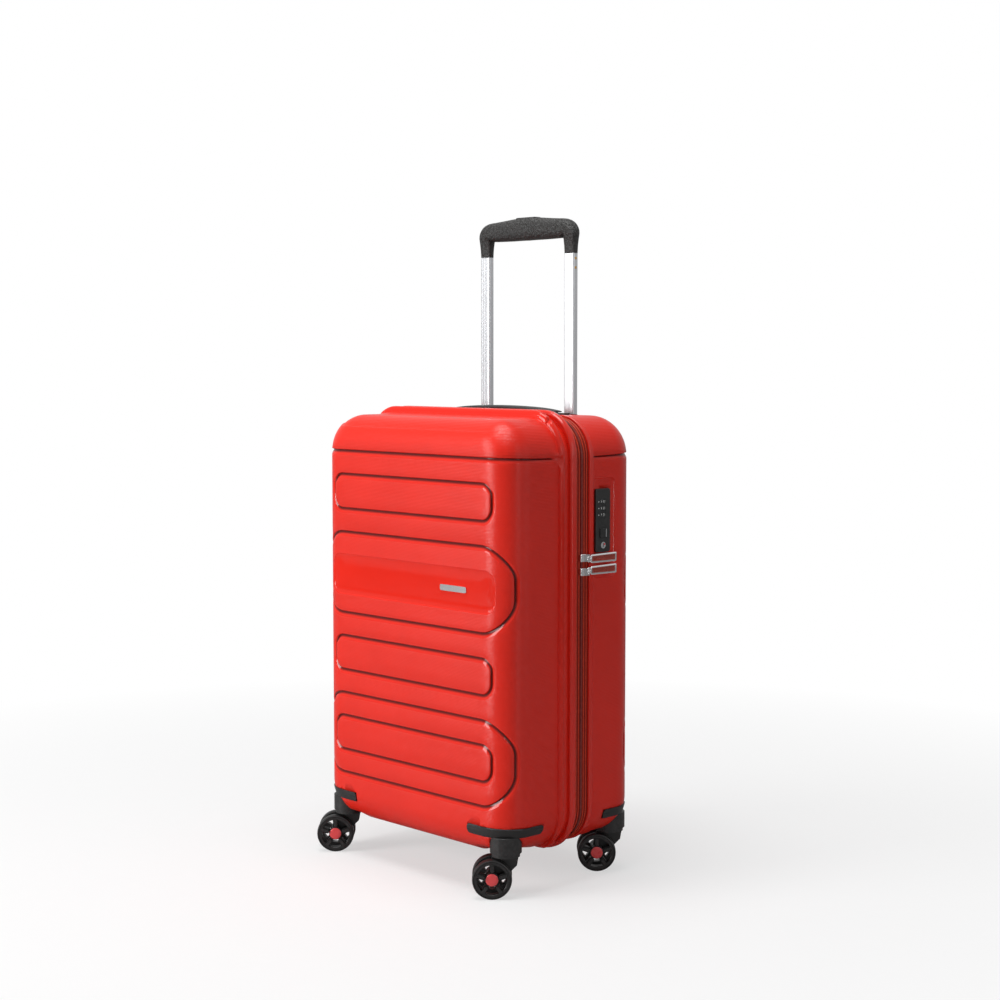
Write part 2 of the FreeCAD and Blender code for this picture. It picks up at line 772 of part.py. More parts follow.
cup = cup_outer.common(inside_case).fuse(lip_skin.common(cup_flange)).cut(cup_inner)
for side in (-1, 1):
    x = side * tube_spacing / 2
    cup = cup.cut(
        rounded_prism(
            "z",
            span(x, tube_width + 2 * tube_clearance),
            span(tube_y, tube_depth + 2 * tube_clearance),
            tube_corner_radius,
            (cup_floor_z - 5, cup_floor_z + 1),
        )
    )
nodes["trolley_cup"] = cup.removeSplitter()
rear_shell = rear_shell.cut(
    rounded_prism(
        "z",
        (-cup_x - cup_wall - seat_gap, cup_x + cup_wall + seat_gap),
        span(tube_y, 2 * (cup_y + cup_wall + seat_gap)),
        cup_corner_radius + cup_wall,
        (cup_floor_z, case_top + 20),
    )
)
bracket = box((-tube_spacing / 2 - 14, tube_spacing / 2 + 14), span(tube_y, outer_depth + 8),
              (outer_tube_bottom - bracket_height / 2, outer_tube_bottom + bracket_height / 2))
for side in (-1, 1):
    bracket = bracket.cut(
        rounded_prism(
            "z",
            span(side * tube_spacing / 2, outer_width),
            span(tube_y, outer_depth),
            tube_corner_radius,
            (outer_tube_bottom, outer_tube_bottom + bracket_height),
        )
    )
nodes["trolley_foot_bracket"] = bracket

nodes["rear_shell"] = rear_shell

# ---- linings ----
inset = wall + lining_gap
front_lining = ring(
    case_half(-inset, 0, -half_depth + inset, face_edge_radius - inset),
    case_half(
        -inset - lining_thickness,
        5,
        -half_depth + inset + lining_thickness,
        face_edge_radius - inset - lining_thickness,
    ),
)
rear_lining = ring(
    case_half(-inset - 1, rear_rim_y - 4, rear_lining_depth, rear_lining_edge_radius),
    case_half(
        -inset - 1 - lining_thickness,
        rear_rim_y - 10,
        rear_lining_depth - lining_thickness,
        rear_lining_edge_radius - lining_thickness,
    ),
)
for x_side in (-1, 1):
    hole = cylinder(neck_radius + 2, V(stem_x, -stem_y, 0), V(0, 0, 1), wing_top + 2).fuse(wing_zone(1.0))
    front_lining = front_lining.cut(mirrored(hole, x_side, -1)).cut(wheel_well(inset, x_side, -1))
    rear_lining = rear_lining.cut(mirrored(hole, x_side, 1)).cut(wheel_well(inset, x_side, 1))
lock_room = box(
    (lock_back_x - 1, half_width), span(lock_y, lock_width + 2), (lock_low_z - 1, lock_high_z + 1)
)
rear_lining = rear_lining.cut(lock_room)
handle_room = box(
    (-half_width + 60, half_width - 60),
    span(carry_y, 2 * carry_width),
    (case_top - wall - 22, case_top),
)
rear_lining = rear_lining.cut(handle_room)
cup_room = box((-cup_x - 4, cup_x + 4), (tube_y - cup_y - 4, half_depth), (cup_floor_z - 4, case_top))
nodes["front_lining"] = front_lining
nodes["rear_lining"] = rear_lining.cut(cup_room)

# ---- badge ----
badge = rounded_prism("y", span(badge_x, badge_length), span(band_z, badge_height), 2,
                      (-half_depth + band_depth - badge_thickness, -half_depth + band_depth))
nodes["badge"] = badge


# ---- casters ----
def place_caster(shape, x_side, y_side):
    shape = shape.copy()
    shape.rotate(V(0, 0, 0), V(0, 0, 1), caster_heading)
    shape.translate(V(x_side * stem_x, y_side * stem_y, 0))
    return shape


def make_fork():
    """The swivelling arm between two wheels, with its crown and its stem."""
    crown = cylinder(fork_crown_radius, V(0, 0, fork_crown_low), V(0, 0, 1), fork_crown_height)
    stem = cylinder(stem_radius, V(0, 0, fork_crown_low), V(0, 0, 1), stem_top - fork_crown_low)
    crown_middle = fork_crown_low + fork_crown_height / 2
    outline = Part.makePolygon([
        V(1.5 - fork_crown_radius, 0, crown_middle), V(3.5 - fork_crown_radius, 0, wheel_radius + 14),
        V(trail - 9, 0, wheel_radius - 5), V(trail, 0, wheel_radius - 6), V(trail + 6, 0, wheel_radius),
        V(fork_crown_radius - 1.5, 0, crown_middle), V(1.5 - fork_crown_radius, 0, crown_middle),
    ])
    arm = Part.Face(outline).extrude(V(0, fork_thickness, 0))
    arm.translate(V(0, -fork_thickness / 2, 0))
    hub_length = fork_thickness + fork_hub_proud * 2
    hub = cylinder(hub_radius, V(trail, -hub_length / 2, wheel_radius), V(0, 1, 0), hub_length)
    fork = crown.fuse([arm, stem, hub])
    axle_hole = cylinder(
        axle_radius, V(trail, -fork_thickness, wheel_radius), V(0, 1, 0), 2 * fork_thickness
    )
    return fork.cut(axle_hole).removeSplitter()


def make_wheel(side):
    """One wheel of a pair, open between its spokes."""
    start = wheel_gap / 2
    centre = V(trail, start, wheel_radius)
    tyre = cylinder(wheel_radius, centre, V(0, 1, 0), wheel_width)
    tyre = tyre.makeFillet(1.6, [e for e in tyre.Edges if len(e.Vertexes) == 1])
    tyre = tyre.cut(
        cylinder(wheel_radius - rim_thickness, centre - V(0, 1, 0), V(0, 1, 0), wheel_width + 2)
    )
    boss = cylinder(hub_radius, centre, V(0, 1, 0), wheel_width - cap_thickness - slide_clearance)
    pieces = [boss]
    for k in range(spoke_count):
        spoke = box(
            (hub_radius - 2, wheel_radius - rim_thickness + 1),
            span(0, spoke_thickness),
            span(0, spoke_width),
        )
        spoke.rotate(V(0, 0, 0), V(0, 1, 0), k * 360.0 / spoke_count + 18)
        spoke.translate(V(trail, start + wheel_width / 2, wheel_radius))
        pieces.append(spoke)
    wheel = tyre.fuse(pieces)
    wheel = wheel.cut(
        cylinder(axle_radius + running_clearance, centre - V(0, 5, 0), V(0, 1, 0), wheel_width + 10)
    )
    wheel = wheel.removeSplitter()
    if side < 0:
        wheel = wheel.mirror(V(0, 0, 0), V(0, 1, 0))
    return wheel


def make_axle():
    half_length = wheel_gap / 2 + wheel_width - cap_thickness
    return cylinder(axle_radius, V(trail, -half_length, wheel_radius), V(0, 1, 0), 2 * half_length)


def make_caps():
    start = wheel_gap / 2 + wheel_width - cap_thickness
    caps = []
    for side in (-1, 1):
        cap = cylinder(cap_radius, V(trail, side * start, wheel_radius), V(0, side, 0), cap_thickness)
        caps.append(cap.makeFillet(0.5, edges_where(cap, lambda p: abs(p.y) > start + 0.5)))
    return Part.makeCompound(caps)


for corner, (x_side, y_side) in corners.items():
    housing = housing_body().cut(
        cylinder(stem_radius + running_clearance, V(stem_x, -stem_y, 0), V(0, 0, 1), stem_top + 1)
    )
    nodes[corner + "_caster_housing"] = mirrored(housing, x_side, y_side)
    nodes[corner + "_caster_fork"] = place_caster(make_fork(), x_side, y_side)
    nodes[corner + "_caster_axle"] = place_caster(make_axle(), x_side, y_side)
    nodes[corner + "_caster_caps"] = place_caster(make_caps(), x_side, y_side)
    nodes[corner + "_wheel_1"] = place_caster(make_wheel(1), x_side, y_side)
    nodes[corner + "_wheel_2"] = place_caster(make_wheel(-1), x_side, y_side)

# ---- move everything so that the origin is under the middle of the whole ----
reach = wheel_gap / 2 + wheel_width
heading = math.radians(caster_heading)
wheel_reach_x = abs(
    wheel_radius * math.cos(heading)
) + abs(reach * math.sin(heading)) - trail * math.cos(heading)
wheel_reach_y = abs(
    wheel_radius * math.sin(heading)
) + abs(reach * math.cos(heading)) - trail * math.sin(heading)
low_x = -stem_x - wheel_reach_x
high_x = pull_x + pull_thickness
low_y = -stem_y - wheel_reach_y
high_y = half_depth + wing_proud
origin_shift = V(-(low_x + high_x) / 2, -(low_y + high_y) / 2, 0)

os.makedirs("parts", exist_ok=True)
for name, shape in nodes.items():
    shape.translate(origin_shift)
    shape.exportStep("parts/" + name + ".step")
print("nodes", len(nodes), "origin shift", origin_shift)
for name, shape in nodes.items():
    print(name, "valid" if shape.isValid() else "INVALID", len(shape.Solids), round(shape.Volume))
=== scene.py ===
# %% [markdown]
# A hard shell cabin suitcase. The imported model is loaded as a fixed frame: its tubes, wheels, joints and
# fits are already right, so this file only gives them their looks. Every new piece takes its place from
# the box of the node that it stands for.

# %% The frame
import json
import math

import bmesh
import bpy
import numpy as np
from mathutils import Matrix, Vector
from mathutils.geometry import delaunay_2d_cdt


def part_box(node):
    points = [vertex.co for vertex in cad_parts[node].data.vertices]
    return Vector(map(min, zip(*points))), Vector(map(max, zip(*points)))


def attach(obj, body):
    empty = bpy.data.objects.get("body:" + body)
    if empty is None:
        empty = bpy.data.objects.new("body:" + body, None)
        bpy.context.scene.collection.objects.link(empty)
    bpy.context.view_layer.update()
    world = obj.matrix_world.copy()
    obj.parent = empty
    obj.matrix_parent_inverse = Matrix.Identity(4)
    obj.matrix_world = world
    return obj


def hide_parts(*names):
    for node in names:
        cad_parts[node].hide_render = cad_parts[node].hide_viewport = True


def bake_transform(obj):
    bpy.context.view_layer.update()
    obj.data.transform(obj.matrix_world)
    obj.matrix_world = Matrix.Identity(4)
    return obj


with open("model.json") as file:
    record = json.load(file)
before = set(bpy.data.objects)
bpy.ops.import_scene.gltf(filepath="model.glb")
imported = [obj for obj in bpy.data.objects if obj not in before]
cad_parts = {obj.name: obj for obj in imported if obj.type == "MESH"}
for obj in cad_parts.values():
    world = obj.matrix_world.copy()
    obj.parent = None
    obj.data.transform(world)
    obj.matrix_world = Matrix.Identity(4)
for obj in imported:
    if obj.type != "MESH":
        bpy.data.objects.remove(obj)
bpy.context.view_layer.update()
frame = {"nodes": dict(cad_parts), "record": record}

# %% [markdown]
# The case's own centre line is where its designer measured from: the middle of its width, and the edge of
# the front half's rim. Two boxes of the frame give both, so a size in millimetres can be turned into a
# point with one short function.

# %% The case's own axes
MM = 0.001
rim_low, rim_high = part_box("front_rim_welt")
case_middle_x = (rim_low.x + rim_high.x) / 2
parting_y = rim_high.y
nodes = frame["nodes"]


def at(x, y, z):
    """A point in the case's own millimetres, as a point in the frame in metres."""
    return Vector((case_middle_x + x * MM, parting_y + y * MM, z * MM))


def middle(node):
    low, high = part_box(node)
    return (low + high) / 2


def new_object(name, data):
    """An object at the origin, linked to the scene."""
    made = bpy.data.objects.new(name, data)
    bpy.context.scene.collection.objects.link(made)
    return made


def mesh_of(bm, name):
    """The mesh of a bmesh, which is freed."""
    mesh = bpy.data.meshes.new(name)
    bm.to_mesh(mesh)
    bm.free()
    return mesh


print("the parting is at y", round(parting_y, 4), "and the middle at x", round(case_middle_x, 4))

# %% [markdown]
# The studio is a pale floor, a broad key light from the front left, a top light that fills the upper
# faces, and a weak world. The right side is left in soft shade, which is what shows the case's depth.
# The world looks white to the camera and gives little light, as a lit backdrop far behind would.

# %% Camera, floor and lights
CAMERA_PLACE, CAMERA_DIP, CAMERA_TURN, LENS = (1.638238, -1.495272, 0.606758), 4.43, 46.65, 67.17
camera_data = bpy.data.cameras.new("camera")
camera_data.sensor_width = 36.0
camera_data.lens = LENS
camera = new_object("camera", camera_data)
camera.location = CAMERA_PLACE
camera.rotation_euler = (math.radians(90 - CAMERA_DIP), 0, math.radians(CAMERA_TURN))
bpy.context.scene.camera = camera
bpy.context.scene.view_settings.view_transform = "Standard"

FLOOR_RADIUS = 6.0
bm = bmesh.new()
bmesh.ops.create_circle(bm, cap_ends=True, segments=96, radius=FLOOR_RADIUS)
floor = new_object("floor", mesh_of(bm, "floor"))


def area_light(name, place, target, size, watts):
    """A soft square light at a place, turned towards a target."""
    data = bpy.data.lights.new(name, "AREA")
    data.size = size
    data.energy = watts
    light = new_object(name, data)
    light.location = place
    light.rotation_euler = (Vector(target) - Vector(place)).to_track_quat("-Z", "Y").to_euler()
    return light


case_heart = (0, 0, 0.3)
area_light("key", (-1.0, -2.3, 0.9), case_heart, 1.2, 48)
area_light("top", (0.0, -0.3, 2.2), case_heart, 1.1, 30)
area_light("side", (2.4, 0.9, 1.0), case_heart, 1.0, 3.5)
strip = area_light("strip", (2.1, -0.35, 0.7), case_heart, 0.07, 3.6)
strip.data.shape = "RECTANGLE"
strip.data.size_y = 1.6
print("four lights and a camera")

# %% [markdown]
# Materials are made of nodes. One short helper adds a node, sets what it is told and wires what it is
# given, so that each material below reads as a list of what feeds what.

# %% A helper for nodes
def wire(tree, kind, inputs=None, **settings):
    """Adds a node. An input may be a value or another node's output."""
    node = tree.nodes.new(kind)
    for name, value in settings.items():
        setattr(node, name, value)
    for name, value in (inputs or {}).items():
        socket = node.inputs[name]
        if isinstance(value, bpy.types.NodeSocket):
            tree.links.new(value, socket)
        else:
            socket.default_value = value
    return node


def new_group(name, inputs, outputs):
    """An empty shader group with named sockets, and its two end nodes."""
    group = bpy.data.node_groups.new(name, "ShaderNodeTree")
    for socket_name, kind, value in inputs:
        socket = group.interface.new_socket(socket_name, in_out="INPUT", socket_type=kind)
        if value is not None:
            socket.default_value = value
    for socket_name, kind in outputs:
        group.interface.new_socket(socket_name, in_out="OUTPUT", socket_type=kind)
    return group, group.nodes.new("NodeGroupInput"), group.nodes.new("NodeGroupOutput")


def ramp(tree, value, low, high, to_low=0.0, to_high=1.0):
    """Maps a value from one range to another, held at its ends."""
    return wire(tree, "ShaderNodeMapRange", {
        "Value": value, "From Min": low, "From Max": high, "To Min": to_low, "To Max": to_high,
    }).outputs["Result"]


def math_node(tree, operation, a, b=0.0):
    return wire(tree, "ShaderNodeMath", {0: a, 1: b}, operation=operation).outputs[0]


def times(tree, a, b):
    return math_node(tree, "MULTIPLY", a, b)


def plus(tree, a, b):
    return math_node(tree, "ADD", a, b)


def object_place(tree):
    return wire(tree, "ShaderNodeTexCoord").outputs["Object"]


def noise(tree, place, scale, detail=2.0, distortion=0.0):
    """Smooth noise, from nought to one."""
    return wire(tree, "ShaderNodeTexNoise", {
        "Vector": place, "Scale": scale, "Detail": detail, "Distortion": distortion,
    }).outputs["Fac"]


# %% [markdown]
# Four effects are shared. Grain is the fine pebbled skin of moulded black plastic. Handling is the slow
# change in gloss and tone that fingers and polishing leave. Edge wear and highlight finds convex edges
# from how much a surface turns; the moulded finishes paint them paler, partly as wear and partly as a
# painted highlight. Weave is over-and-under thread for the lining and the zip tape.

# %% Shared effects
FLOAT = "NodeSocketFloat"


def make_grain():
    """Pebbles of about one scale, and finer noise over them."""
    group, given, result = new_group("grain", [("Size", FLOAT, 1.0)], [("Height", FLOAT), ("Pits", FLOAT)])
    place = object_place(group)
    per_metre = math_node(group, "DIVIDE", 1.0, given.outputs["Size"])
    pebbles = wire(group, "ShaderNodeTexVoronoi", {"Vector": place, "Scale": per_metre}, feature="SMOOTH_F1")
    fine = times(group, per_metre, 2.7)
    both = plus(group, pebbles.outputs["Distance"], noise(group, place, fine, 3.0))
    group.links.new(both, result.inputs["Height"])
    group.links.new(ramp(group, pebbles.outputs["Distance"], 0.2, 0.7), result.inputs["Pits"])
    return group


def make_handling():
    """Slow patches, as a tone near one and a gloss change near nought."""
    group, given, result = new_group(
        "handling", [("Size", FLOAT, 0.08), ("Amount", FLOAT, 1.0)], [("Tone", FLOAT), ("Rub", FLOAT)]
    )
    place = object_place(group)
    per_metre = math_node(group, "DIVIDE", 1.0, given.outputs["Size"])
    centred = math_node(group, "SUBTRACT", noise(group, place, per_metre, 4.0, 0.4), 0.5)
    rub = times(group, centred, given.outputs["Amount"])
    tone = plus(group, times(group, rub, 0.35), 1.0)
    group.links.new(tone, result.inputs["Tone"])
    group.links.new(rub, result.inputs["Rub"])
    return group


def make_edge_wear():
    """A broken mask along convex edges."""
    group, given, result = new_group("edge_wear_and_highlight", [("Reach", FLOAT, 0.04)], [("Mask", FLOAT)])
    # The mask marks convex edges, which the moulded finishes paint paler: partly wear, partly a painted
    # highlight.
    turn = wire(group, "ShaderNodeNewGeometry").outputs["Pointiness"]
    top = plus(group, 0.52, given.outputs["Reach"])
    edge = ramp(group, turn, 0.52, top)
    place = object_place(group)
    chips = noise(group, place, 260.0, 5.0)
    group.links.new(times(group, edge, ramp(group, chips, 0.42, 0.62)), result.inputs["Mask"])
    return group


def make_weave():
    """Over-and-under thread on the XZ and YZ faces, of one thread pitch."""
    group, given, result = new_group(
        "weave", [("Pitch", FLOAT, 0.0006)], [("Height", FLOAT), ("Thread", FLOAT)]
    )
    place = object_place(group)
    split = wire(group, "ShaderNodeSeparateXYZ", {"Vector": place})
    turns = math_node(group, "DIVIDE", 2 * math.pi, given.outputs["Pitch"])
    across = plus(group, split.outputs["X"], split.outputs["Y"])
    warp = math_node(group, "SINE", times(group, across, turns))
    weft = math_node(group, "SINE", times(group, split.outputs["Z"], turns))
    over = times(group, warp, weft)
    group.links.new(ramp(group, over, -1.0, 1.0), result.inputs["Height"])
    uneven = noise(group, place, 900.0)
    group.links.new(ramp(group, uneven, 0.3, 0.7, 0.8, 1.15), result.inputs["Thread"])
    return group


grain, handling, edge_wear_and_highlight, weave = make_grain(), make_handling(), make_edge_wear(), make_weave()
print("shared effects:", [g.name for g in (grain, handling, edge_wear_and_highlight, weave)])


# %% [markdown]
# A finish starts from one Principled shader. Its plain numbers sit on the shader, and only what changes
# over the surface is wired in: the tone of the colour, the roughness, and the height under the bump.

# %% Starting a finish
def start(name, roughness, metallic=0.0, **extra):
    """A material with a Principled shader: returns the material, its tree and the shader."""
    material = bpy.data.materials.new(name)
    material.use_nodes = True
    tree = material.node_tree
    shader = tree.nodes["Principled BSDF"]
    shader.inputs["Roughness"].default_value = roughness
    shader.inputs["Metallic"].default_value = metallic
    for socket, value in extra.items():
        shader.inputs[socket.replace("_", " ")].default_value = value
    return material, tree, shader


def effect(tree, group, **inputs):
    node = wire(tree, "ShaderNodeGroup", node_tree=group)
    for name, value in inputs.items():
        node.inputs[name].default_value = value
    return node


def mixed(tree, factor, a, b):
    """Two colours, or sockets, mixed by a factor."""
    a, b = ((*c, 1.0) if isinstance(c, tuple) else c for c in (a, b))
    node = wire(tree, "ShaderNodeMix", data_type="RGBA")
    for socket, value in ((node.inputs[0], factor), (node.inputs[6], a), (node.inputs[7], b)):
        if isinstance(value, bpy.types.NodeSocket):
            tree.links.new(value, socket)
        else:
            socket.default_value = value
    return node.outputs[2]


def tint(tree, colour, tone):
    """A plain colour made lighter and darker by a tone near one."""
    node = wire(tree, "ShaderNodeMix", data_type="RGBA", blend_type="MULTIPLY")
    node.inputs[0].default_value = 1.0
    node.inputs[6].default_value = (*colour, 1.0)
    tree.links.new(tone, node.inputs[7])
    return node.outputs[2]


def bump(tree, shader, height, depth, strength=1.0):
    node = wire(tree, "ShaderNodeBump", {"Height": height, "Distance": depth, "Strength": strength})
    tree.links.new(node.outputs["Normal"], shader.inputs["Normal"])


# %% [markdown]
# The shell is polypropylene with its colour all through. Its flat areas carry hundreds of fine
# horizontal lines from the mould, which make it satin, while the grooves, the central band and the beads
# are polished. The mesh carries a mask called gloss, so that one material holds both finishes and the
# line between them is as sharp as the moulding.

# %% The shell's finish
SHELL_RED = (0.82, 0.022, 0.010)
# The dark red of the painted shade in the groove floors.
GROOVE_SHADE_RED = (0.13, 0.006, 0.004)
LINE_PITCH = 0.0016


def make_shell_red():
    material, tree, shader = start("shell_red", 0.35, Specular_IOR_Level=0.30)
    gloss = wire(tree, "ShaderNodeAttribute", attribute_name="gloss").outputs["Fac"]
    touched = effect(tree, handling, Size=0.09, Amount=0.5)
    # Painted shade: the groove floors are mixed towards a dark red, standing in for the shadow under the
    # groove's overhang.
    groove_shade = wire(tree, "ShaderNodeAttribute", attribute_name="groove_shade").outputs["Fac"]
    plain = tint(tree, SHELL_RED, touched.outputs["Tone"])
    tree.links.new(mixed(tree, groove_shade, plain, GROOVE_SHADE_RED), shader.inputs["Base Color"])
    place = object_place(tree)
    height = wire(tree, "ShaderNodeSeparateXYZ", {"Vector": place}).outputs["Z"]
    lines = math_node(tree, "SINE", times(tree, height, 2 * math.pi / LINE_PITCH))
    speckle = noise(tree, place, 1800.0)
    both = plus(tree, lines, times(tree, speckle, 0.8))
    satin = math_node(tree, "SUBTRACT", 1.0, gloss)
    bump(tree, shader, times(tree, both, satin), 0.00006, 1.0)
    rough = ramp(tree, gloss, 0.0, 1.0, 0.30, 0.10)
    tree.links.new(plus(tree, rough, times(tree, touched.outputs["Rub"], 0.12)), shader.inputs["Roughness"])
    return material


def make_polished_red():
    """The beads round the rims: the same plastic with no lines."""
    material, tree, shader = start("polished_red", 0.16, Specular_IOR_Level=0.5)
    touched = effect(tree, handling, Size=0.05, Amount=0.4)
    tree.links.new(tint(tree, SHELL_RED, touched.outputs["Tone"]), shader.inputs["Base Color"])
    tree.links.new(ramp(tree, touched.outputs["Rub"], -0.2, 0.2, 0.12, 0.24), shader.inputs["Roughness"])
    return material


def make_moulded(name, colour, roughness, pebble, depth):
    """Grained plastic: black parts, the grip and the lock differ only in their numbers."""
    material, tree, shader = start(name, roughness)
    skin = effect(tree, grain, Size=pebble)
    touched = effect(tree, handling, Size=0.03, Amount=0.7)
    # Convex edges are painted paler: partly edge wear, partly a painted highlight.
    worn_and_lit = effect(tree, edge_wear_and_highlight, Reach=0.05)
    paler = tuple(min(1.0, c * 2.2 + 0.02) for c in colour)
    plain = tint(tree, colour, touched.outputs["Tone"])
    wear_and_highlight = times(tree, worn_and_lit.outputs["Mask"], 0.35)
    tree.links.new(mixed(tree, wear_and_highlight, plain, paler), shader.inputs["Base Color"])
    rough = plus(tree, times(tree, touched.outputs["Rub"], 0.3), roughness)
    tree.links.new(rough, shader.inputs["Roughness"])
    bump(tree, shader, skin.outputs["Height"], depth)
    return material


def make_metal(name, colour, roughness, stretch, depth, metallic=1.0):
    """Drawn or plated metal: fine lines along one direction, set by how the noise is stretched."""
    material, tree, shader = start(name, roughness, metallic)
    place = object_place(tree)
    pulled = wire(tree, "ShaderNodeMapping", {"Vector": place, "Scale": stretch}).outputs["Vector"]
    lines = noise(tree, pulled, 1.0, 4.0)
    tree.links.new(tint(tree, colour, ramp(tree, lines, 0.3, 0.7, 0.9, 1.08)), shader.inputs["Base Color"])
    tree.links.new(ramp(tree, lines, 0.3, 0.7, roughness * 0.8, roughness * 1.3), shader.inputs["Roughness"])
    bump(tree, shader, lines, depth)
    return material


def make_cloth(name, colour, pitch, slack):
    """Woven thread, with creases as deep as the cloth is slack."""
    material, tree, shader = start(name, 0.75, Specular_IOR_Level=0.2)
    threads = effect(tree, weave, Pitch=pitch)
    tree.links.new(tint(tree, colour, threads.outputs["Thread"]), shader.inputs["Base Color"])
    place = object_place(tree)
    both = plus(tree, times(tree, noise(tree, place, 14.0, 3.0, 1.2), slack), threads.outputs["Height"])
    bump(tree, shader, both, pitch * 0.3)
    return material


finishes = {
    "shell_red": make_shell_red(),
    "polished_red": make_polished_red(),
    "tape_red": make_cloth("tape_red", (0.34, 0.018, 0.010), 0.0007, 1.0),
    "coil_red": make_moulded("coil_red", (0.20, 0.012, 0.006), 0.35, 0.0006, 0.00001),
    "black_plastic": make_moulded("black_plastic", (0.012, 0.011, 0.011), 0.42, 0.0009, 0.00002),
    "lock_black": make_moulded("lock_black", (0.012, 0.012, 0.012), 0.32, 0.0007, 0.00002),
    "dial_black": make_moulded("dial_black", (0.014, 0.014, 0.014), 0.38, 0.0006, 0.00001),
    "grip_black": make_moulded("grip_black", (0.014, 0.013, 0.012), 0.36, 0.0032, 0.0012),
    "cap_red": make_moulded("cap_red", (0.92, 0.085, 0.09), 0.3, 0.0012, 0.00001),
    "zinc_chrome": make_metal("zinc_chrome", (0.95, 0.95, 0.96), 0.16, (900, 900, 900), 0.000004),
    "tube_aluminium": make_metal("tube_aluminium", (0.62, 0.63, 0.65), 0.30, (900, 900, 2), 0.00006, 0.9),
    "steel": make_metal("steel", (0.52, 0.53, 0.55), 0.3, (600, 600, 40), 0.00001),
    "brass": make_metal("brass", (0.55, 0.33, 0.12), 0.3, (900, 900, 900), 0.000004),
    "lining_grey": make_cloth("lining_grey", (0.075, 0.075, 0.08), 0.0008, 18.0),
}

# %% [markdown]
# The backdrop's two finishes: a floor of matt white paint with a faint roller texture, which runs out into
# the lit backdrop, and a world that is white to look at but lights the case weakly.

# %% Floor and world
floor_white, tree, shader = start("floor_white", 0.7)
place = object_place(tree)
roller = noise(tree, place, 40.0)
seen = wire(tree, "ShaderNodeLightPath").outputs["Is Camera Ray"]
white = tint(tree, (0.88, 0.88, 0.88), ramp(tree, roller, 0.0, 1.0, 0.985, 1.015))
tree.links.new(mixed(tree, seen, (0.42, 0.42, 0.42), white), shader.inputs["Base Color"])
from_case = wire(tree, "ShaderNodeVectorMath", {0: place}, operation="LENGTH").outputs["Value"]
faded = times(tree, ramp(tree, from_case, 0.1, 1.3, 0.55, 1.0), seen)
backdrop = wire(tree, "ShaderNodeEmission", {"Color": (1, 1, 1, 1), "Strength": 1.0}).outputs[0]
swept = wire(tree, "ShaderNodeMixShader", {0: faded, 1: shader.outputs[0], 2: backdrop}).outputs[0]
tree.links.new(swept, tree.nodes["Material Output"].inputs["Surface"])
floor.data.materials.append(floor_white)

world = bpy.data.worlds.new("backdrop")
world.use_nodes = True
tree = world.node_tree
path = wire(tree, "ShaderNodeLightPath").outputs["Is Camera Ray"]
mirrored = wire(tree, "ShaderNodeLightPath").outputs["Is Glossy Ray"]
shown = wire(tree, "ShaderNodeBackground", {"Color": (1, 1, 1, 1), "Strength": 1.0}).outputs[0]
lighting = tree.nodes["Background"]
lighting.inputs["Color"].default_value = (0.95, 0.97, 1.0, 1)
lighting.inputs["Strength"].default_value = 0.12
reflected = wire(tree, "ShaderNodeBackground", {"Color": (1, 1, 1, 1), "Strength": 0.55}).outputs[0]
unseen = wire(tree, "ShaderNodeMixShader", {0: mirrored, 1: lighting.outputs[0], 2: reflected}).outputs[0]
either = wire(tree, "ShaderNodeMixShader", {0: path, 1: unseen, 2: shown}).outputs[0]
tree.links.new(either, tree.nodes["World Output"].inputs["Surface"])
bpy.context.scene.world = world

# %% [markdown]
# Every node of the frame gets the finish of its slot in the record. A node whose shape is already right
# keeps its mesh; the rest are hidden below, each by the piece that stands for it.

# %% Finishes for the frame's own nodes
slot_of = {part["node"]: part["material_slot"] for part in frame["record"]["subparts"]}
for name, piece in nodes.items():
    finish = "polished_red" if name.endswith("rim_welt") else slot_of[name]
    piece.data.materials.clear()
    piece.data.materials.append(finishes[finish])
print("nodes with a finish:", len(nodes))

# %% [markdown]
# Each shell half is one sheet of plastic, formed over a mould: a flat face, a rounded edge, and straight
# walls. It is drawn here the same way. The sheet is laid out flat, with its grooves, band and panels as
# lines on it, cut into triangles between those lines, and then folded over the case. A groove is a row of
# stations across its line, each with a depth, so its steep upper wall and its slow lower ramp are both
# exact. The distance from the flat face, here called out, says how far round the fold a point is.

# %% Folding a flat sheet over the case
FLAT_X, FLAT_LOW, FLAT_HIGH, FLAT_CORNER, BEND = 129.5, 80.0, 501.0, 10.0, 36.0
ARC = BEND * math.pi / 2
FLAT_MIDDLE = (FLAT_LOW + FLAT_HIGH) / 2
core_x = FLAT_X - FLAT_CORNER
core_z = (FLAT_HIGH - FLAT_LOW) / 2 - FLAT_CORNER


def fold_frame(u, v):
    """For sheet points: the nearest point of the flat zone, the way outwards, and the distance out."""
    p = np.stack([u, v - FLAT_MIDDLE], 1)
    core = np.clip(p, (-core_x, -core_z), (core_x, core_z))
    away = p - core
    length = np.linalg.norm(away, axis=1)
    way = away / np.maximum(length, 1e-9)[:, None]
    out = np.maximum(length - FLAT_CORNER, 0.0)
    base = np.where((out > 0)[:, None], core + way * FLAT_CORNER, p)
    return base + (0, FLAT_MIDDLE), way, out


def fold(u, v, depth, face_y):
    """Sheet points in millimetres to points in the frame, sunk by a depth."""
    base, way, out = fold_frame(u, v)
    turn = np.minimum(out, ARC) / BEND
    inward = -math.copysign(1.0, face_y)
    reach = BEND * np.sin(turn)
    back = BEND * (1 - np.cos(turn)) + np.maximum(out - ARC, 0.0)
    normal = np.stack([way[:, 0] * np.sin(turn), -inward * np.cos(turn), way[:, 1] * np.sin(turn)], 1)
    flat = np.stack([base[:, 0] + way[:, 0] * reach, face_y + inward * back,
                     base[:, 1] + way[:, 1] * reach], 1)
    return flat - normal * depth[:, None]


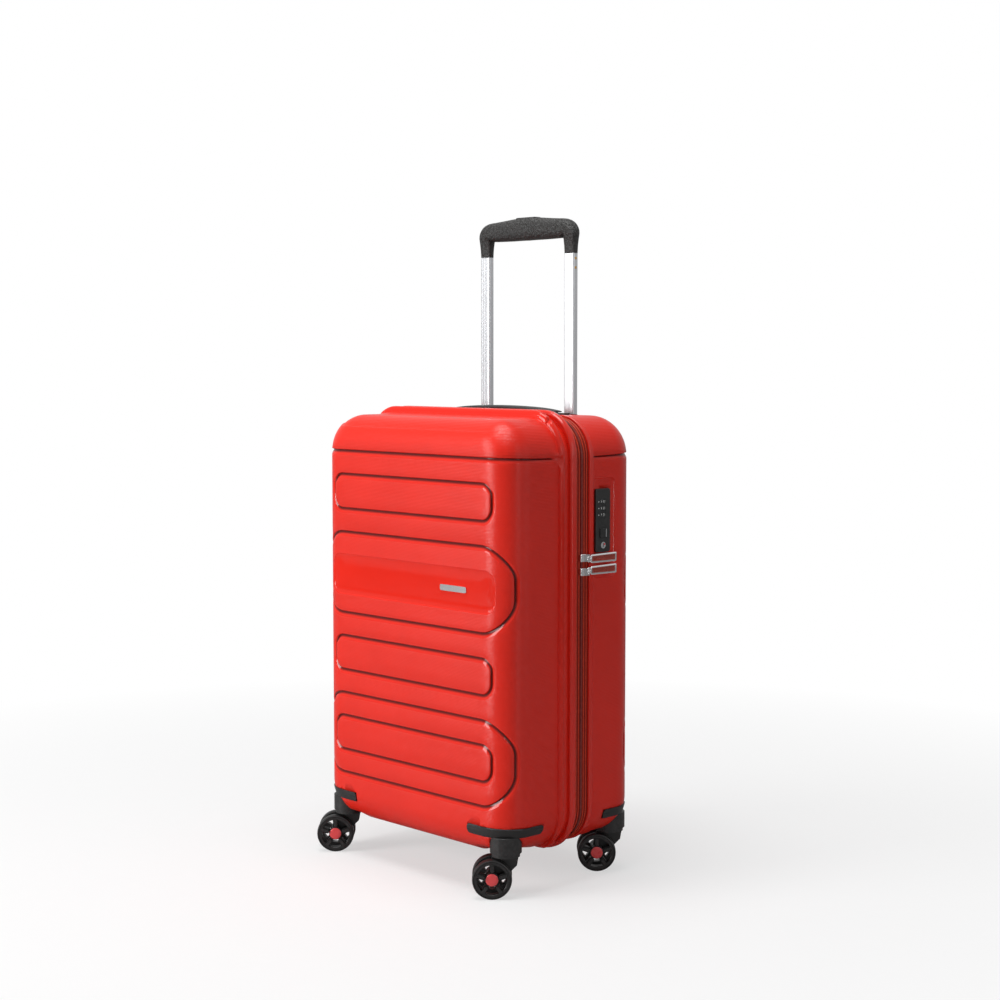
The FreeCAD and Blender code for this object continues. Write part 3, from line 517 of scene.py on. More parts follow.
def unfold_x(x):
    """How far along the sheet a line's x lies, for lines that stay between the corners."""
    over = np.maximum(np.abs(x) - FLAT_X, 0.0)
    return np.sign(x) * (np.minimum(np.abs(x), FLAT_X) + BEND * np.arcsin(np.minimum(over / BEND, 1.0)))


# %% [markdown]
# The lines on the sheet: two kinds of pod, the band behind the badge, the groove under the cap, the inset
# panel on top and the one round the lock. Each becomes a few parallel loops, with a depth for each.

# %% Lines and their stations
SMALL_PODS = [(z, 137.5, 20.7, 14.0) for z in (152.1, 249.7, 445.0)]
BIG_PODS = [(z, 160.0, 48.8, 38.0) for z in (152.1, 347.4)]
BAND = (344.4, 142.5, 24.0, 14.0)
CAP_LINE = 493.8
GROOVE = [(-1.7, 0), (-1.3, 0.15), (-0.9, 0.7), (-0.65, 2.0), (-0.2, 2.3), (0.4, 2.3), (1.1, 1.95),
          (3.4, 0.8), (4.8, 0.2), (6.0, 0)]
BAND_DEPTH, PANEL_DEPTH, TOP_PANEL_DEPTH = 1.2, 1.2, 1.3
groove_offsets = np.array([o for o, d in GROOVE])
groove_depths = np.array([d for o, d in GROOVE])


def rounded_loop(middle_x, middle_z, half_x, half_z, radius, step=4.0):
    """Points round a rounded rectangle, evenly spaced on its sides, and the outward way at each."""
    points, ways = [], []
    sides = [((1, 1), 0.0), ((-1, 1), 90.0), ((-1, -1), 180.0), ((1, -1), 270.0)]
    for i, ((sx, sz), first) in enumerate(sides):
        centre = np.array([sx * (half_x - radius), sz * (half_z - radius)])
        turns = max(4, int(round(radius * math.pi / 2 / min(step, 3.0))))
        for k in range(turns + 1):
            angle = math.radians(first + 90.0 * k / turns)
            way = np.array([math.cos(angle), math.sin(angle)])
            points.append(centre + radius * way)
            ways.append(way)
        (nx, nz), _ = sides[(i + 1) % 4]
        after = np.array([nx * (half_x - radius), nz * (half_z - radius)]) + radius * way
        gap = np.linalg.norm(after - points[-1])
        count = int(gap // step)
        start_point = points[-1]
        for k in range(1, count):
            points.append(start_point + (after - start_point) * k / count)
            ways.append(way)
    return np.array(points) + (middle_x, middle_z), np.array(ways)


def smooth(x, low, high):
    t = np.clip((x - low) / (high - low), 0, 1)
    return t * t * (3 - 2 * t)


class Sheet:
    """The flat sheet: points with a depth and a gloss, lines that the triangles keep, and no-go bands."""

    def __init__(self):
        self.points, self.depths, self.gloss, self.lines, self.keep_off = [], [], [], [], []

    def add_line(self, points, depths, gloss, closed=True):
        first = len(self.points)
        self.points.extend(map(tuple, points))
        self.depths.extend(np.broadcast_to(depths, len(points)))
        self.gloss.extend(np.broadcast_to(gloss, len(points)))
        last = len(points) if closed else len(points) - 1
        self.lines.extend((first + i, first + (i + 1) % len(points)) for i in range(last))

    def add_groove(self, points, ways, closed=True, taper=None):
        """A groove along a line. Its steep wall is always above, so tops use the mirrored stations."""
        top = smooth(ways[:, 1], 0.15, 0.75)[:, None]
        offsets = groove_offsets[None, :] * (1 - top) - groove_offsets[::-1][None, :] * top
        depths = groove_depths[None, :] * (1 - top) + groove_depths[::-1][None, :] * top
        if taper is not None:
            depths = depths * taper[:, None]
        for k in range(len(GROOVE)):
            edge = k in (0, len(GROOVE) - 1)
            self.add_line(points + ways * offsets[:, k:k + 1], depths[:, k], 0.0 if edge else 1.0, closed)
        self.keep_off.append((points, 7.0))

    def add_step(self, points, ways, depth, gloss_in, closed=True, half=0.45):
        """A step down into a panel: the loop's inside is sunk."""
        for offset, d, g in ((-2.2 * half, depth, gloss_in), (-half, depth * 0.9, 1.0), (half, 0.0, 1.0),
                             (2.2 * half, 0.0, 0.0)):
            self.add_line(points + ways * offset, d, g, closed)
        self.keep_off.append((points, 3.0))

    def add_loose(self, points, depths, gloss):
        """Loose points, dropped where they come near a line's stations."""
        keep = np.ones(len(points), bool)
        for line, reach in self.keep_off:
            for i in range(0, len(points), 2000):
                apart = np.linalg.norm(points[i:i + 2000, None] - line[None], axis=2).min(1)
                keep[i:i + 2000] &= apart > reach
        self.points.extend(map(tuple, points[keep]))
        self.depths.extend(depths[keep])
        self.gloss.extend(gloss[keep])


def inside_rounded(points, middle, half, radius):
    q = np.abs(points - middle) - (np.array(half) - radius)
    return np.linalg.norm(np.maximum(q, 0), axis=1) + np.minimum(q.max(1), 0) < radius


def corner_point(angle, out):
    reach = FLAT_CORNER + out
    turn = math.radians(angle)
    return core_x + reach * math.cos(turn), FLAT_MIDDLE + core_z + reach * math.sin(turn)


def chaikin(points, times=3):
    """Cuts an open line's corners until it is smooth."""
    for _ in range(times):
        a, b = points[:-1], points[1:]
        cut = np.stack([a * 0.75 + b * 0.25, a * 0.25 + b * 0.75], 1).reshape(-1, 2)
        points = np.concatenate([points[:1], cut, points[-1:]])
    return points


right_corner = [corner_point(a, o) for a, o in
                ((57, 98.5), (56.9, 79.4), (49.9, 54.8), (53.8, 36.4), (67, 27), (80, 22.7), (90, 23))]
left_corner = [(-x, z) for x, z in reversed(right_corner)]
panel_line = chaikin(np.array(right_corner + [(60.0, right_corner[-1][1]), (0.0, right_corner[-1][1]),
                                              (-60.0, right_corner[-1][1])] + left_corner))


def ways_of(line):
    """The left-hand way at each point of an open line."""
    along = np.gradient(line, axis=0)
    along /= np.linalg.norm(along, axis=1)[:, None]
    return np.stack([along[:, 1], -along[:, 0]], 1)


def in_polygon(points, polygon):
    x, z = points[:, 0:1], points[:, 1:2]
    ax, az = polygon[:, 0][None], polygon[:, 1][None]
    bx, bz = np.roll(polygon[:, 0], -1)[None], np.roll(polygon[:, 1], -1)[None]
    crosses = ((az > z) != (bz > z)) & (x < (bx - ax) * (z - az) / (bz - az + 1e-12) + ax)
    return crosses.sum(1) % 2 == 1


# %% [markdown]
# The raised rib runs all round the front half next to its rim, higher over the top and the bottom than at
# the sides. Its rows are set close together where it turns.

# %% The two sheets
RIB_MIDDLE, RIB_HALF = 103.0, 4.1
RIB_SIDE, RIB_TOP, RIB_BOTTOM = 3.6, 8.0, 6.0
RIB_ROWS = [-1.12, -1.0, -0.97, -0.9, -0.75, -0.5, -0.2, 0.2, 0.5, 0.75, 0.9, 0.97, 1.0, 1.12]
LOCK_PANEL = (129.5 + 80.0, 410.0, 17.5, 57.0, 6.0)


def rib_profile(t):
    return np.sqrt(np.maximum(1 - np.abs(t) ** 3, 0))


def ring(out, step=10.0):
    """Points round the sheet at one distance out from the flat zone."""
    points, ways = rounded_loop(0, FLAT_MIDDLE, FLAT_X + out, (FLAT_HIGH - FLAT_LOW) / 2 + out,
                                FLAT_CORNER + out, step)
    if FLAT_CORNER + out > 22:
        points, ways = [], []
        for first, sx, sz in ((0, 1, 1), (90, -1, 1), (180, -1, -1), (270, 1, -1)):
            for k in range(19):
                angle = math.radians(first + 5.0 * k)
                way = np.array([math.cos(angle), math.sin(angle)])
                points.append(np.array([sx * core_x, sz * core_z]) + way * (FLAT_CORNER + out))
            span = 2 * (core_z if first in (90, 270) else core_x)
            along = np.array([-way[1], way[0]])
            count = int(span // step)
            last = points[-1]
            points.extend(last + along * span * k / count for k in range(1, count))
        points = np.array(points) + (0, FLAT_MIDDLE)
    return points


def make_sheet(is_front):
    sheet = Sheet()
    out_max = 116.55 if is_front else 98.55
    for z, half_x, half_z, radius in SMALL_PODS + BIG_PODS:
        points, ways = rounded_loop(0, z, half_x, half_z, radius)
        points[:, 0] = unfold_x(points[:, 0])
        sheet.add_groove(points, ways)
    if is_front:
        points, ways = rounded_loop(0, BAND[0], *BAND[1:])
        points[:, 0] = unfold_x(points[:, 0])
        sheet.add_step(points, ways, BAND_DEPTH, 1.0)
        sheet.add_step(panel_line, -ways_of(panel_line), TOP_PANEL_DEPTH, 0.0, closed=False)
    else:
        points, ways = rounded_loop(*LOCK_PANEL)
        sheet.add_step(points, ways, PANEL_DEPTH, 0.0)
    end = FLAT_X + (97.0 if is_front else out_max - 1.0)
    cap_x = np.concatenate([-np.arange(end, FLAT_X, -4.0), np.linspace(-FLAT_X, FLAT_X, 24),
                            np.arange(FLAT_X, end, 4.0) + 4.0])
    cap_x = np.unique(np.clip(cap_x, -end, end))
    cap = np.stack([cap_x, np.full(len(cap_x), CAP_LINE)], 1)
    taper = smooth(end - np.abs(cap_x), 0.0, 8.0) if is_front else None
    sheet.add_groove(cap, np.tile((0.0, 1.0), (len(cap), 1)), closed=False, taper=taper)

    outs = list(np.arange(0.0, ARC, 4.0)) + [ARC] + list(np.arange(64.0, out_max - 2.0, 8.0)) + [out_max]
    if is_front:
        outs = [o for o in outs if abs(o - RIB_MIDDLE) > RIB_HALF + 1.5]
        outs = sorted(outs + [RIB_MIDDLE + t * RIB_HALF for t in RIB_ROWS])
    columns, rows = np.arange(-120.0, 121.0, 12.0), np.arange(90.0, 495.0, 12.0)
    grid = np.stack(np.meshgrid(columns, rows), -1).reshape(-1, 2)
    loose = np.concatenate([grid] + [ring(o) for o in outs])
    depth = np.zeros(len(loose))
    gloss = np.zeros(len(loose))
    base, way, out = fold_frame(loose[:, 0], loose[:, 1])
    if is_front:
        in_band = inside_rounded(loose, (0, BAND[0]), (unfold_x(BAND[1]), BAND[2]), BAND[3])
        depth[in_band] = BAND_DEPTH
        gloss[in_band] = 1.0
        depth[in_polygon(loose, panel_line) & (out < 98.4)] = TOP_PANEL_DEPTH
        t = (out - RIB_MIDDLE) / RIB_HALF
        on_rib = np.abs(t) < 1.001
        proud = RIB_SIDE * way[:, 0] ** 2 + np.where(way[:, 1] > 0, RIB_TOP, RIB_BOTTOM) * way[:, 1] ** 2
        depth = np.where(on_rib, -proud * rib_profile(np.clip(t, -1, 1)), depth)
        gloss = np.where(np.abs(t) < 1.0, 1.0, gloss)
    else:
        in_panel = inside_rounded(loose, LOCK_PANEL[:2], LOCK_PANEL[2:4], LOCK_PANEL[4])
        depth[in_panel] = PANEL_DEPTH
    sheet.add_loose(loose, depth, gloss)
    return sheet


# %% [markdown]
# The sheet's points are joined by a triangulation that keeps every line, folded over the case, and lifted
# over the casters at the bottom corners. Its inside is a second sheet, 2.5 mm further in, that is joined to
# it round the edge and only bulges a little behind the grooves, so the lining lies flat over it. The
# groove's floor carries a mask of painted shade, where the plastic is painted darker as if shadowed.

# %% Folding the sheets
WALL, THINNEST, DEEPEST = 2.5, 1.0, 3.2
# Grooves deeper than this get painted shade in their floor.
GROOVE_SHADE_DEPTH = 1.9
SHELL_GAP = 0.25
STEM_X, STEM_Y, BASE_LOW, BASE_LIFT = 140.4, 84.6, 44.0, 9.0


def make_skin(name, is_front):
    """The folded sheet as a mesh object with its gloss mask."""
    sheet = make_sheet(is_front)
    points = [Vector(p) for p in sheet.points]
    out_points, _, out_faces, origin, _, _ = delaunay_2d_cdt(points, sheet.lines, [], 0, 0.001)
    source = [o[0] if o else -1 for o in origin]
    flat = np.array([tuple(p) for p in out_points])
    depth = np.array([sheet.depths[i] if i >= 0 else 0.0 for i in source])
    gloss = np.array([sheet.gloss[i] if i >= 0 else 0.0 for i in source])
    face_y = -106.0 if is_front else 106.0
    placed = fold(flat[:, 0], flat[:, 1], depth, face_y)
    from_stem = np.hypot(np.abs(placed[:, 0]) - STEM_X, np.abs(placed[:, 1]) - STEM_Y)
    floor_line = BASE_LOW + BASE_LIFT * (1 - smooth(from_stem, 33.0, 44.0))
    placed[:, 2] = np.maximum(placed[:, 2], floor_line)
    inner = fold(flat[:, 0], flat[:, 1], np.clip(depth + THINNEST, WALL, DEEPEST), face_y)
    inner[:, 2] = np.maximum(inner[:, 2], floor_line + WALL)
    count = len(placed)
    faces = [list(f) for f in out_faces]
    uses = {}
    for f in faces:
        for a, b in zip(f, f[1:] + f[:1]):
            uses.setdefault(frozenset((a, b)), []).append((a, b))
    rim = [pairs[0] for pairs in uses.values() if len(pairs) == 1]
    inside = [[i + count for i in reversed(f)] for f in faces]
    edge = [[b, a, a + count, b + count] for a, b in rim]
    mesh = bpy.data.meshes.new(name)
    mesh.from_pydata([at(*p) for p in np.concatenate([placed, inner])], [], faces + inside + edge)
    # The mask of painted shade: the deepest part of each groove is painted darker.
    groove_shade = (depth > GROOVE_SHADE_DEPTH).astype(float)
    for label, values in (("gloss", gloss), ("groove_shade", groove_shade)):
        mask = mesh.attributes.new(label, "FLOAT", "POINT")
        mask.data.foreach_set("value", np.concatenate([values, values * 0]).astype(np.float32))
    bm = bmesh.new()
    bm.from_mesh(mesh)
    bmesh.ops.dissolve_degenerate(bm, edges=bm.edges, dist=1e-6)
    bmesh.ops.recalc_face_normals(bm, faces=bm.faces)
    for face in bm.faces:
        face.smooth = True
    bm.to_mesh(mesh)
    bm.free()
    return new_object(name, mesh)


def merged_copy(node, grow=0.0):
    """A closed copy of a frame node, grown a little along its normals."""
    bm = bmesh.new()
    bm.from_mesh(nodes[node].data)
    bmesh.ops.remove_doubles(bm, verts=bm.verts, dist=1e-6)
    bmesh.ops.recalc_face_normals(bm, faces=bm.faces)
    bm.normal_update()
    for vert in bm.verts:
        vert.co += vert.normal * grow
    return bm


def bevel(bm, edges, offset, segments):
    bmesh.ops.bevel(bm, geom=edges, offset=offset, segments=segments, profile=0.5, affect="EDGES",
                    material=-1)


def add_block(bm, low, high, radius=0.0, along=2, segments=6):
    """A block from corner to corner. Its edges along one axis, the upright one unless told, are rounded."""
    place = Matrix.Translation((low + high) / 2) @ Matrix.Diagonal((*(high - low), 1))
    made = bmesh.ops.create_cube(bm, size=1.0, matrix=place)["verts"]
    if radius:
        bevel(bm, [e for e in {e for v in made for e in v.link_edges}
                   if abs(e.verts[0].co[along] - e.verts[1].co[along]) > 1e-6], radius, segments)


def cut_away(piece, cutters, operation="DIFFERENCE", use_self=True):
    """Cuts a piece with a bmesh of closed shapes, and keeps the result as its mesh."""
    cutter = new_object("cutters", mesh_of(cutters, "cutters"))
    cut = piece.modifiers.new("cut", "BOOLEAN")
    cut.object, cut.operation, cut.solver, cut.use_self = cutter, operation, "EXACT", use_self
    result = bpy.data.meshes.new_from_object(piece.evaluated_get(bpy.context.evaluated_depsgraph_get()))
    piece.modifiers.remove(cut)
    piece.data = result
    bpy.data.objects.remove(cutter)


CUP_INSET, CUP_CORNER, LEG_X, LEG_Y = 1.7, 9.0, 80.0, 47.0


def make_shell(name, is_front):
    skin = make_skin(name, is_front)
    cutters = bmesh.new()
    half = "front" if is_front else "rear"
    for corner in (half + "_left", half + "_right"):
        housing = merged_copy(corner + "_caster_housing", SHELL_GAP * MM)
        cutters.from_mesh(mesh_of(housing, "spare"))
    if not is_front:
        cup_low, cup_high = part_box("trolley_cup")
        inset = Vector((CUP_INSET, CUP_INSET, 0)) * MM
        add_block(cutters, cup_low + inset, cup_high - inset + Vector((0, 0, 0.05)), CUP_CORNER * MM)
        lock_low, lock_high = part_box("lock_housing")
        rim = Vector((0, 0.5, 0.5)) * MM
        add_block(cutters, lock_low + rim, lock_high - rim + Vector((0.01, 0, 0)))
        for side in (-1, 1):
            leg = at(side * LEG_X, LEG_Y, 534.0)
            reach = Vector((6.5, 4.5, 12.0)) * MM
            add_block(cutters, leg - reach, leg + reach)
    cut_away(skin, cutters, use_self=False)
    skin.data.set_sharp_from_angle(angle=math.radians(62))
    skin.data.materials.clear()
    skin.data.materials.append(finishes["shell_red"])
    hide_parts(half + "_shell")
    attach(skin, half + "_case")
    print(name, "faces", len(skin.data.polygons), "with masks", "gloss" in skin.data.attributes)


make_shell("front_shell_moulded", True)
make_shell("rear_shell_moulded", False)

# %% [markdown]
# The smaller pieces share one ending: the mesh is given its shading and finish, takes the place of its
# node, and rides on that node's body.

# %% Helpers for the smaller pieces
def as_piece(bm, name, finish, body, replaced=(), sharp=35.0):
    """Turns a bmesh into a piece that rides on a body and stands for the named nodes."""
    bmesh.ops.recalc_face_normals(bm, faces=bm.faces)
    mesh = mesh_of(bm, name)
    for polygon in mesh.polygons:
        polygon.use_smooth = True
    mesh.set_sharp_from_angle(angle=math.radians(sharp))
    mesh.materials.append(finishes[finish])
    piece = new_object(name, mesh)
    if replaced:
        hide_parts(*replaced)
    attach(piece, body)
    return piece


def spun(bm, profile, steps=64, closed=True):
    """Spins an outline of (radius, height) points about its own axis."""
    verts = [bm.verts.new((r, 0, z)) for r, z in profile]
    edges = [bm.edges.new(pair) for pair in zip(verts, verts[1:] + (verts[:1] if closed else []))]
    bmesh.ops.spin(bm, geom=verts + edges, cent=(0, 0, 0), axis=(0, 0, 1), angle=2 * math.pi, steps=steps,
                   use_merge=True)


def facing(centre, out):
    """The place and turn of a shape that was drawn lying flat, so that its top looks outwards."""
    up = Vector((0, 0, 1))
    return Matrix.Translation(centre) @ Matrix((up.cross(out), up, out)).transposed().to_4x4()


def add_rod(bm, centre, radius, length, segments):
    """A round upright rod about a centre."""
    bmesh.ops.create_cone(bm, cap_ends=True, segments=segments, radius1=radius, radius2=radius, depth=length,
                          matrix=Matrix.Translation(centre))


def add_dome(bm, centre, high, wide, segments):
    """A low round dome on a face that looks along X."""
    bmesh.ops.create_uvsphere(bm, u_segments=segments, v_segments=segments // 2, radius=1.0,
                              matrix=Matrix.Translation(centre) @ Matrix.Diagonal((high, wide, wide, 1)))


def ring_edges(bm, segments, place, radius=1.0):
    """One ring of a loft: each point of a circle is put in its place. Returns the ring's edges."""
    verts = bmesh.ops.create_circle(bm, cap_ends=False, segments=segments, radius=radius)["verts"]
    for v in verts:
        v.co = place(v.co.x, v.co.y)
    return list({e for v in verts for e in v.link_edges})


def loft(bm, rings):
    """Joins rings in a row, and closes both ends."""
    for a, b in zip(rings, rings[1:]):
        bmesh.ops.bridge_loops(bm, edges=a + b)
    for end in (rings[0], rings[-1]):
        bmesh.ops.contextual_create(bm, geom=end)


def squared(value, power):
    """Pushes a circle's coordinate towards a square's."""
    return math.copysign(abs(value) ** power, value)


print("helpers ready")

# %% [markdown]
# A wheel is one moulding: a tyre with rounded shoulders round a flat rim ring, a hub, and five short
# arms. Each arm is a U, open at the rim, whose edge stands up round a sunk middle, so it is cut as a flat
# plate, given its height, and its top face is inset and pushed down. The gaps between the arms are open.

# %% Wheels
HALF_RIM = [(16.9, 4.5), (17.3, 4.9), (20.1, 4.9), (20.35, 4.5), (20.6, 4.5), (21.0, 5.4), (21.9, 5.0),
            (22.35, 3.9), (22.5, 2.0)]
RIM_PROFILE = [(radius, -z) for radius, z in HALF_RIM] + HALF_RIM[::-1]
HUB_PROFILE = [(2.6, -5.3), (7.5, -5.3), (7.9, -4.9), (7.9, 3.0), (7.6, 3.3), (2.6, 3.3)]
ARM_COUNT, ARM_HALF, ARM_FOOT, ARM_TOP, ARM_BEND, ARM_END = 5, 3.0, -3.6, 4.7, 10.6, 18.4
CORNERS = [a + "_" + b for a in ("front", "rear") for b in ("left", "right")]


def add_arm(bm, angle):
    """One U-shaped arm, drawn upright and turned about the wheel's axis."""
    before = set(bm.verts)
    outline = [(ARM_HALF, ARM_END), (ARM_HALF, ARM_BEND)]
    outline += [(ARM_HALF * math.cos(t), ARM_BEND - ARM_HALF * math.sin(t))
                for t in (math.pi * j / 10 for j in range(1, 10))]
    outline += [(-ARM_HALF, ARM_BEND), (-ARM_HALF, ARM_END)]
    face = bm.faces.new([bm.verts.new((x, z, ARM_FOOT)) for x, z in outline])
    grown = bmesh.ops.extrude_face_region(bm, geom=[face])["geom"]
    top_verts = [g for g in grown if isinstance(g, bmesh.types.BMVert)]
    bmesh.ops.translate(bm, verts=top_verts, vec=(0, 0, ARM_TOP - ARM_FOOT))
    top = [g for g in grown if isinstance(g, bmesh.types.BMFace)]
    for thickness, depth in ((0.45, 0.5), (0.7, 0.0), (0.25, -2.4)):
        bmesh.ops.inset_individual(bm, faces=top, thickness=thickness, depth=depth)
    bmesh.ops.rotate(bm, verts=[v for v in bm.verts if v not in before], cent=(0, 0, 0),
                     matrix=Matrix.Rotation(angle, 3, "Z"))


def make_wheel(node, partner):
    bm = bmesh.new()
    spun(bm, RIM_PROFILE)
    spun(bm, HUB_PROFILE, 40)
    for k in range(ARM_COUNT):
        add_arm(bm, 2 * math.pi * k / ARM_COUNT)
    centre = middle(node)
    axis = (centre - middle(partner)).normalized()
    bmesh.ops.transform(bm, verts=bm.verts, matrix=facing(centre, axis) @ Matrix.Scale(MM, 4))
    as_piece(bm, node + "_moulded", "black_plastic", node, [node])


for corner in CORNERS:
    for a, b in (("1", "2"), ("2", "1")):
        make_wheel(corner + "_wheel_" + a, corner + "_wheel_" + b)
print("wheels made:", 2 * len(CORNERS))

# %% [markdown]
# A hub cap is a pressed disc with a soft dome. It is spun from a short arc on each side of the axle.

# %% Hub caps
CAP_THICK = 1.6
CAP_PROFILE = [(0.0, -1.0), (0.97, -1.0), (1.0, -0.8), (1.0, -0.45), (0.94, -0.22), (0.7, -0.06), (0.35, 0.0),
               (0.0, 0.0)]  # shares of the radius and of the thickness


def make_caps(corner):
    bm = bmesh.new()
    first, second = middle(corner + "_wheel_1"), middle(corner + "_wheel_2")
    low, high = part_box(corner + "_caster_caps")
    axis = (first - second).normalized()
    radius = (high.z - low.z) / 2
    reach = ((high.x - low.x) / 2 - radius * abs(axis.y)) / abs(axis.x)
    for out in (axis, -axis):
        cap = bmesh.new()
        spun(cap, [(r * radius, z * CAP_THICK * MM) for r, z in CAP_PROFILE], 40, closed=False)
        bmesh.ops.remove_doubles(cap, verts=cap.verts, dist=1e-6)
        bmesh.ops.transform(cap, verts=cap.verts, matrix=facing((first + second) / 2 + out * reach, out))
        bm.from_mesh(mesh_of(cap, "spare"))
    as_piece(bm, corner + "_hub_caps", "cap_red", corner + "_caster", [corner + "_caster_caps"])


for corner in CORNERS:
    make_caps(corner)
print("pairs of hub caps:", len(CORNERS))

# %% [markdown]
# The caster housings keep their fitted shape, since it has to follow the shell, but their wings end in
# round tips like a moustache. Each is trimmed by blocks whose corners are rounded the way that the tips
# are seen from the front and from the side.

# %% Caster housings
WING_LOW, WING_TOP, WING_TIP = 68.6, 80.6, 5.4
WING_END_X, WING_END_Y, PAST_X, PAST_Y = 121.0, 62.0, 185.0, 125.0
FOOT_RADIUS, FOOT_HEIGHT, FOOT_MIDDLE = 30.0, 42.0, 56.8


def wing_block(bm, a, b, along):
    """A block between any two opposite corners, its edges along one axis as round as a wing's tip."""
    low, high = (Vector(map(pick, a, b)) for pick in (min, max))
    add_block(bm, low, high, WING_TIP * MM, along, 8)


for corner in CORNERS:
    sx = 1 if corner.endswith("right") else -1
    sy = -1 if corner.startswith("front") else 1
    node = corner + "_caster_housing"
    low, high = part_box(node)
    inner_x = (low.x if sx > 0 else high.x) - sx * 0.1 * MM
    inner_y = (high.y if sy < 0 else low.y) - sy * 0.1 * MM
    past, wing_end = at(sx * PAST_X, sy * PAST_Y, WING_TOP), at(sx * WING_END_X, sy * WING_END_Y, 0)
    cutters = bmesh.new()
    wing_block(cutters, (inner_x, past.y, WING_LOW * MM), (past.x, wing_end.y, past.z), 1)
    wing_block(cutters, (wing_end.x, inner_y, WING_LOW * MM), past, 0)
    add_rod(cutters, at(sx * STEM_X, sy * STEM_Y, FOOT_MIDDLE), FOOT_RADIUS * MM, FOOT_HEIGHT * MM, 64)
    piece = as_piece(merged_copy(node), corner + "_housing_moulded", "black_plastic",
                     "front_case" if sy < 0 else "rear_case", [node])
    bmesh.ops.recalc_face_normals(cutters, faces=cutters.faces)
    cut_away(piece, cutters, "INTERSECT")
    print(corner, "housing trimmed to", len(piece.data.polygons), "faces")
    piece.data.set_sharp_from_angle(angle=math.radians(35))

# %% [markdown]
# The grip is moulded over the ends of the tubes: slim at each foot, full in the middle where the hand
# closes. It is a loft of oval rings along a bent path, with the pocket for its button, the channel for the
# rods and the two sockets for the tubes cut out of it.

# %% Trolley grip
GRIP_X, GRIP_Y, GRIP_FOOT, GRIP_BEND, GRIP_LEG = 72.8, 86.0, 727.5, 13.0, 22.5
GRIP_STATIONS = [  # how far along, half height across the path, half depth
    (0.0, 8.6, 5.3), (0.04, 8.9, 5.7), (0.08, 9.4, 6.8), (0.12, 10.2, 8.2), (0.17, 11.2, 9.4),
    (0.25, 11.9, 10.2), (0.38, 13.2, 10.7), (0.5, 13.9, 10.9),
]
station_at, station_high, station_deep = zip(*GRIP_STATIONS)
ROD_BAR_TOP, ROD_RADIUS, BUTTON_DROP, BUTTON_CORNER = 762.5, 1.6, 4.8, 2.8
GRIP_RINGS, GRIP_CROWN, CHANNEL = 72, 1.6, 2.4


def grip_path(t):
    """A place and a way along the grip: up one leg, round the shoulder and over the crowned bar."""
    leg, bend, bar = GRIP_LEG, GRIP_BEND * math.pi / 2, GRIP_X - GRIP_BEND
    total = leg + bend + bar
    along = (t if t <= 0.5 else 1 - t) * 2 * total
    if along < leg:
        x, z, way = -GRIP_X, along, (0.0, 1.0)
    elif along < leg + bend:
        turn = (along - leg) / GRIP_BEND
        x = -GRIP_X + GRIP_BEND * (1 - math.cos(turn))
        z = leg + GRIP_BEND * math.sin(turn) * 0.6
        way = (math.sin(turn), math.cos(turn))
    else:
        x = -bar + (along - leg - bend)
        z, way = leg + GRIP_BEND * 0.6, (1.0, 0.0)
    return (x, z, way) if t <= 0.5 else (-x, z, (way[0], -way[1]))


def make_rods():
    """The rods down the tubes and the bar that joins them, as low in the grip as its shoulders need."""
    bm = bmesh.new()
    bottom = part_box("trolley_push_rods")[0].z
    for side in (-1, 1):
        top = at(side * GRIP_X, GRIP_Y, ROD_BAR_TOP - 0.4)
        add_rod(bm, Vector((top.x, top.y, (bottom + top.z) / 2)), ROD_RADIUS * MM, top.z - bottom, 20)
    add_block(bm, at(-GRIP_X - ROD_RADIUS, GRIP_Y - ROD_RADIUS, ROD_BAR_TOP - 2.4),
              at(GRIP_X + ROD_RADIUS, GRIP_Y + ROD_RADIUS, ROD_BAR_TOP))
    as_piece(bm, "push_rods", "steel", "trolley_button", ["trolley_push_rods"])


def make_button():
    bm = bmesh.new()
    low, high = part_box("trolley_button")
    top = high - Vector((0, 0, BUTTON_DROP)) * MM
    add_block(bm, Vector((low.x, low.y, ROD_BAR_TOP * MM)), top, BUTTON_CORNER * MM)
    bevel(bm, [e for e in bm.edges if all(v.co.z > top.z - 0.01 * MM for v in e.verts)], 1.2 * MM, 4)
    as_piece(bm, "grip_button", "black_plastic", "trolley_button", ["trolley_button"])


def grip_ring(bm, t):
    """The oval at one place along the grip."""
    x, z, (wx, wz) = grip_path(t)
    near = min(t, 1 - t)
    half_high, half_deep = (np.interp(near, station_at, sizes) for sizes in (station_high, station_deep))
    crown = GRIP_CROWN * smooth(np.array(near), 0.2, 0.5)

    def place(c, s):
        c, s = squared(c, 0.72), squared(s, 0.72)
        return at(x - wz * c * half_high, GRIP_Y + s * half_deep, GRIP_FOOT + z + wx * c * half_high + crown)

    return ring_edges(bm, 36, place)


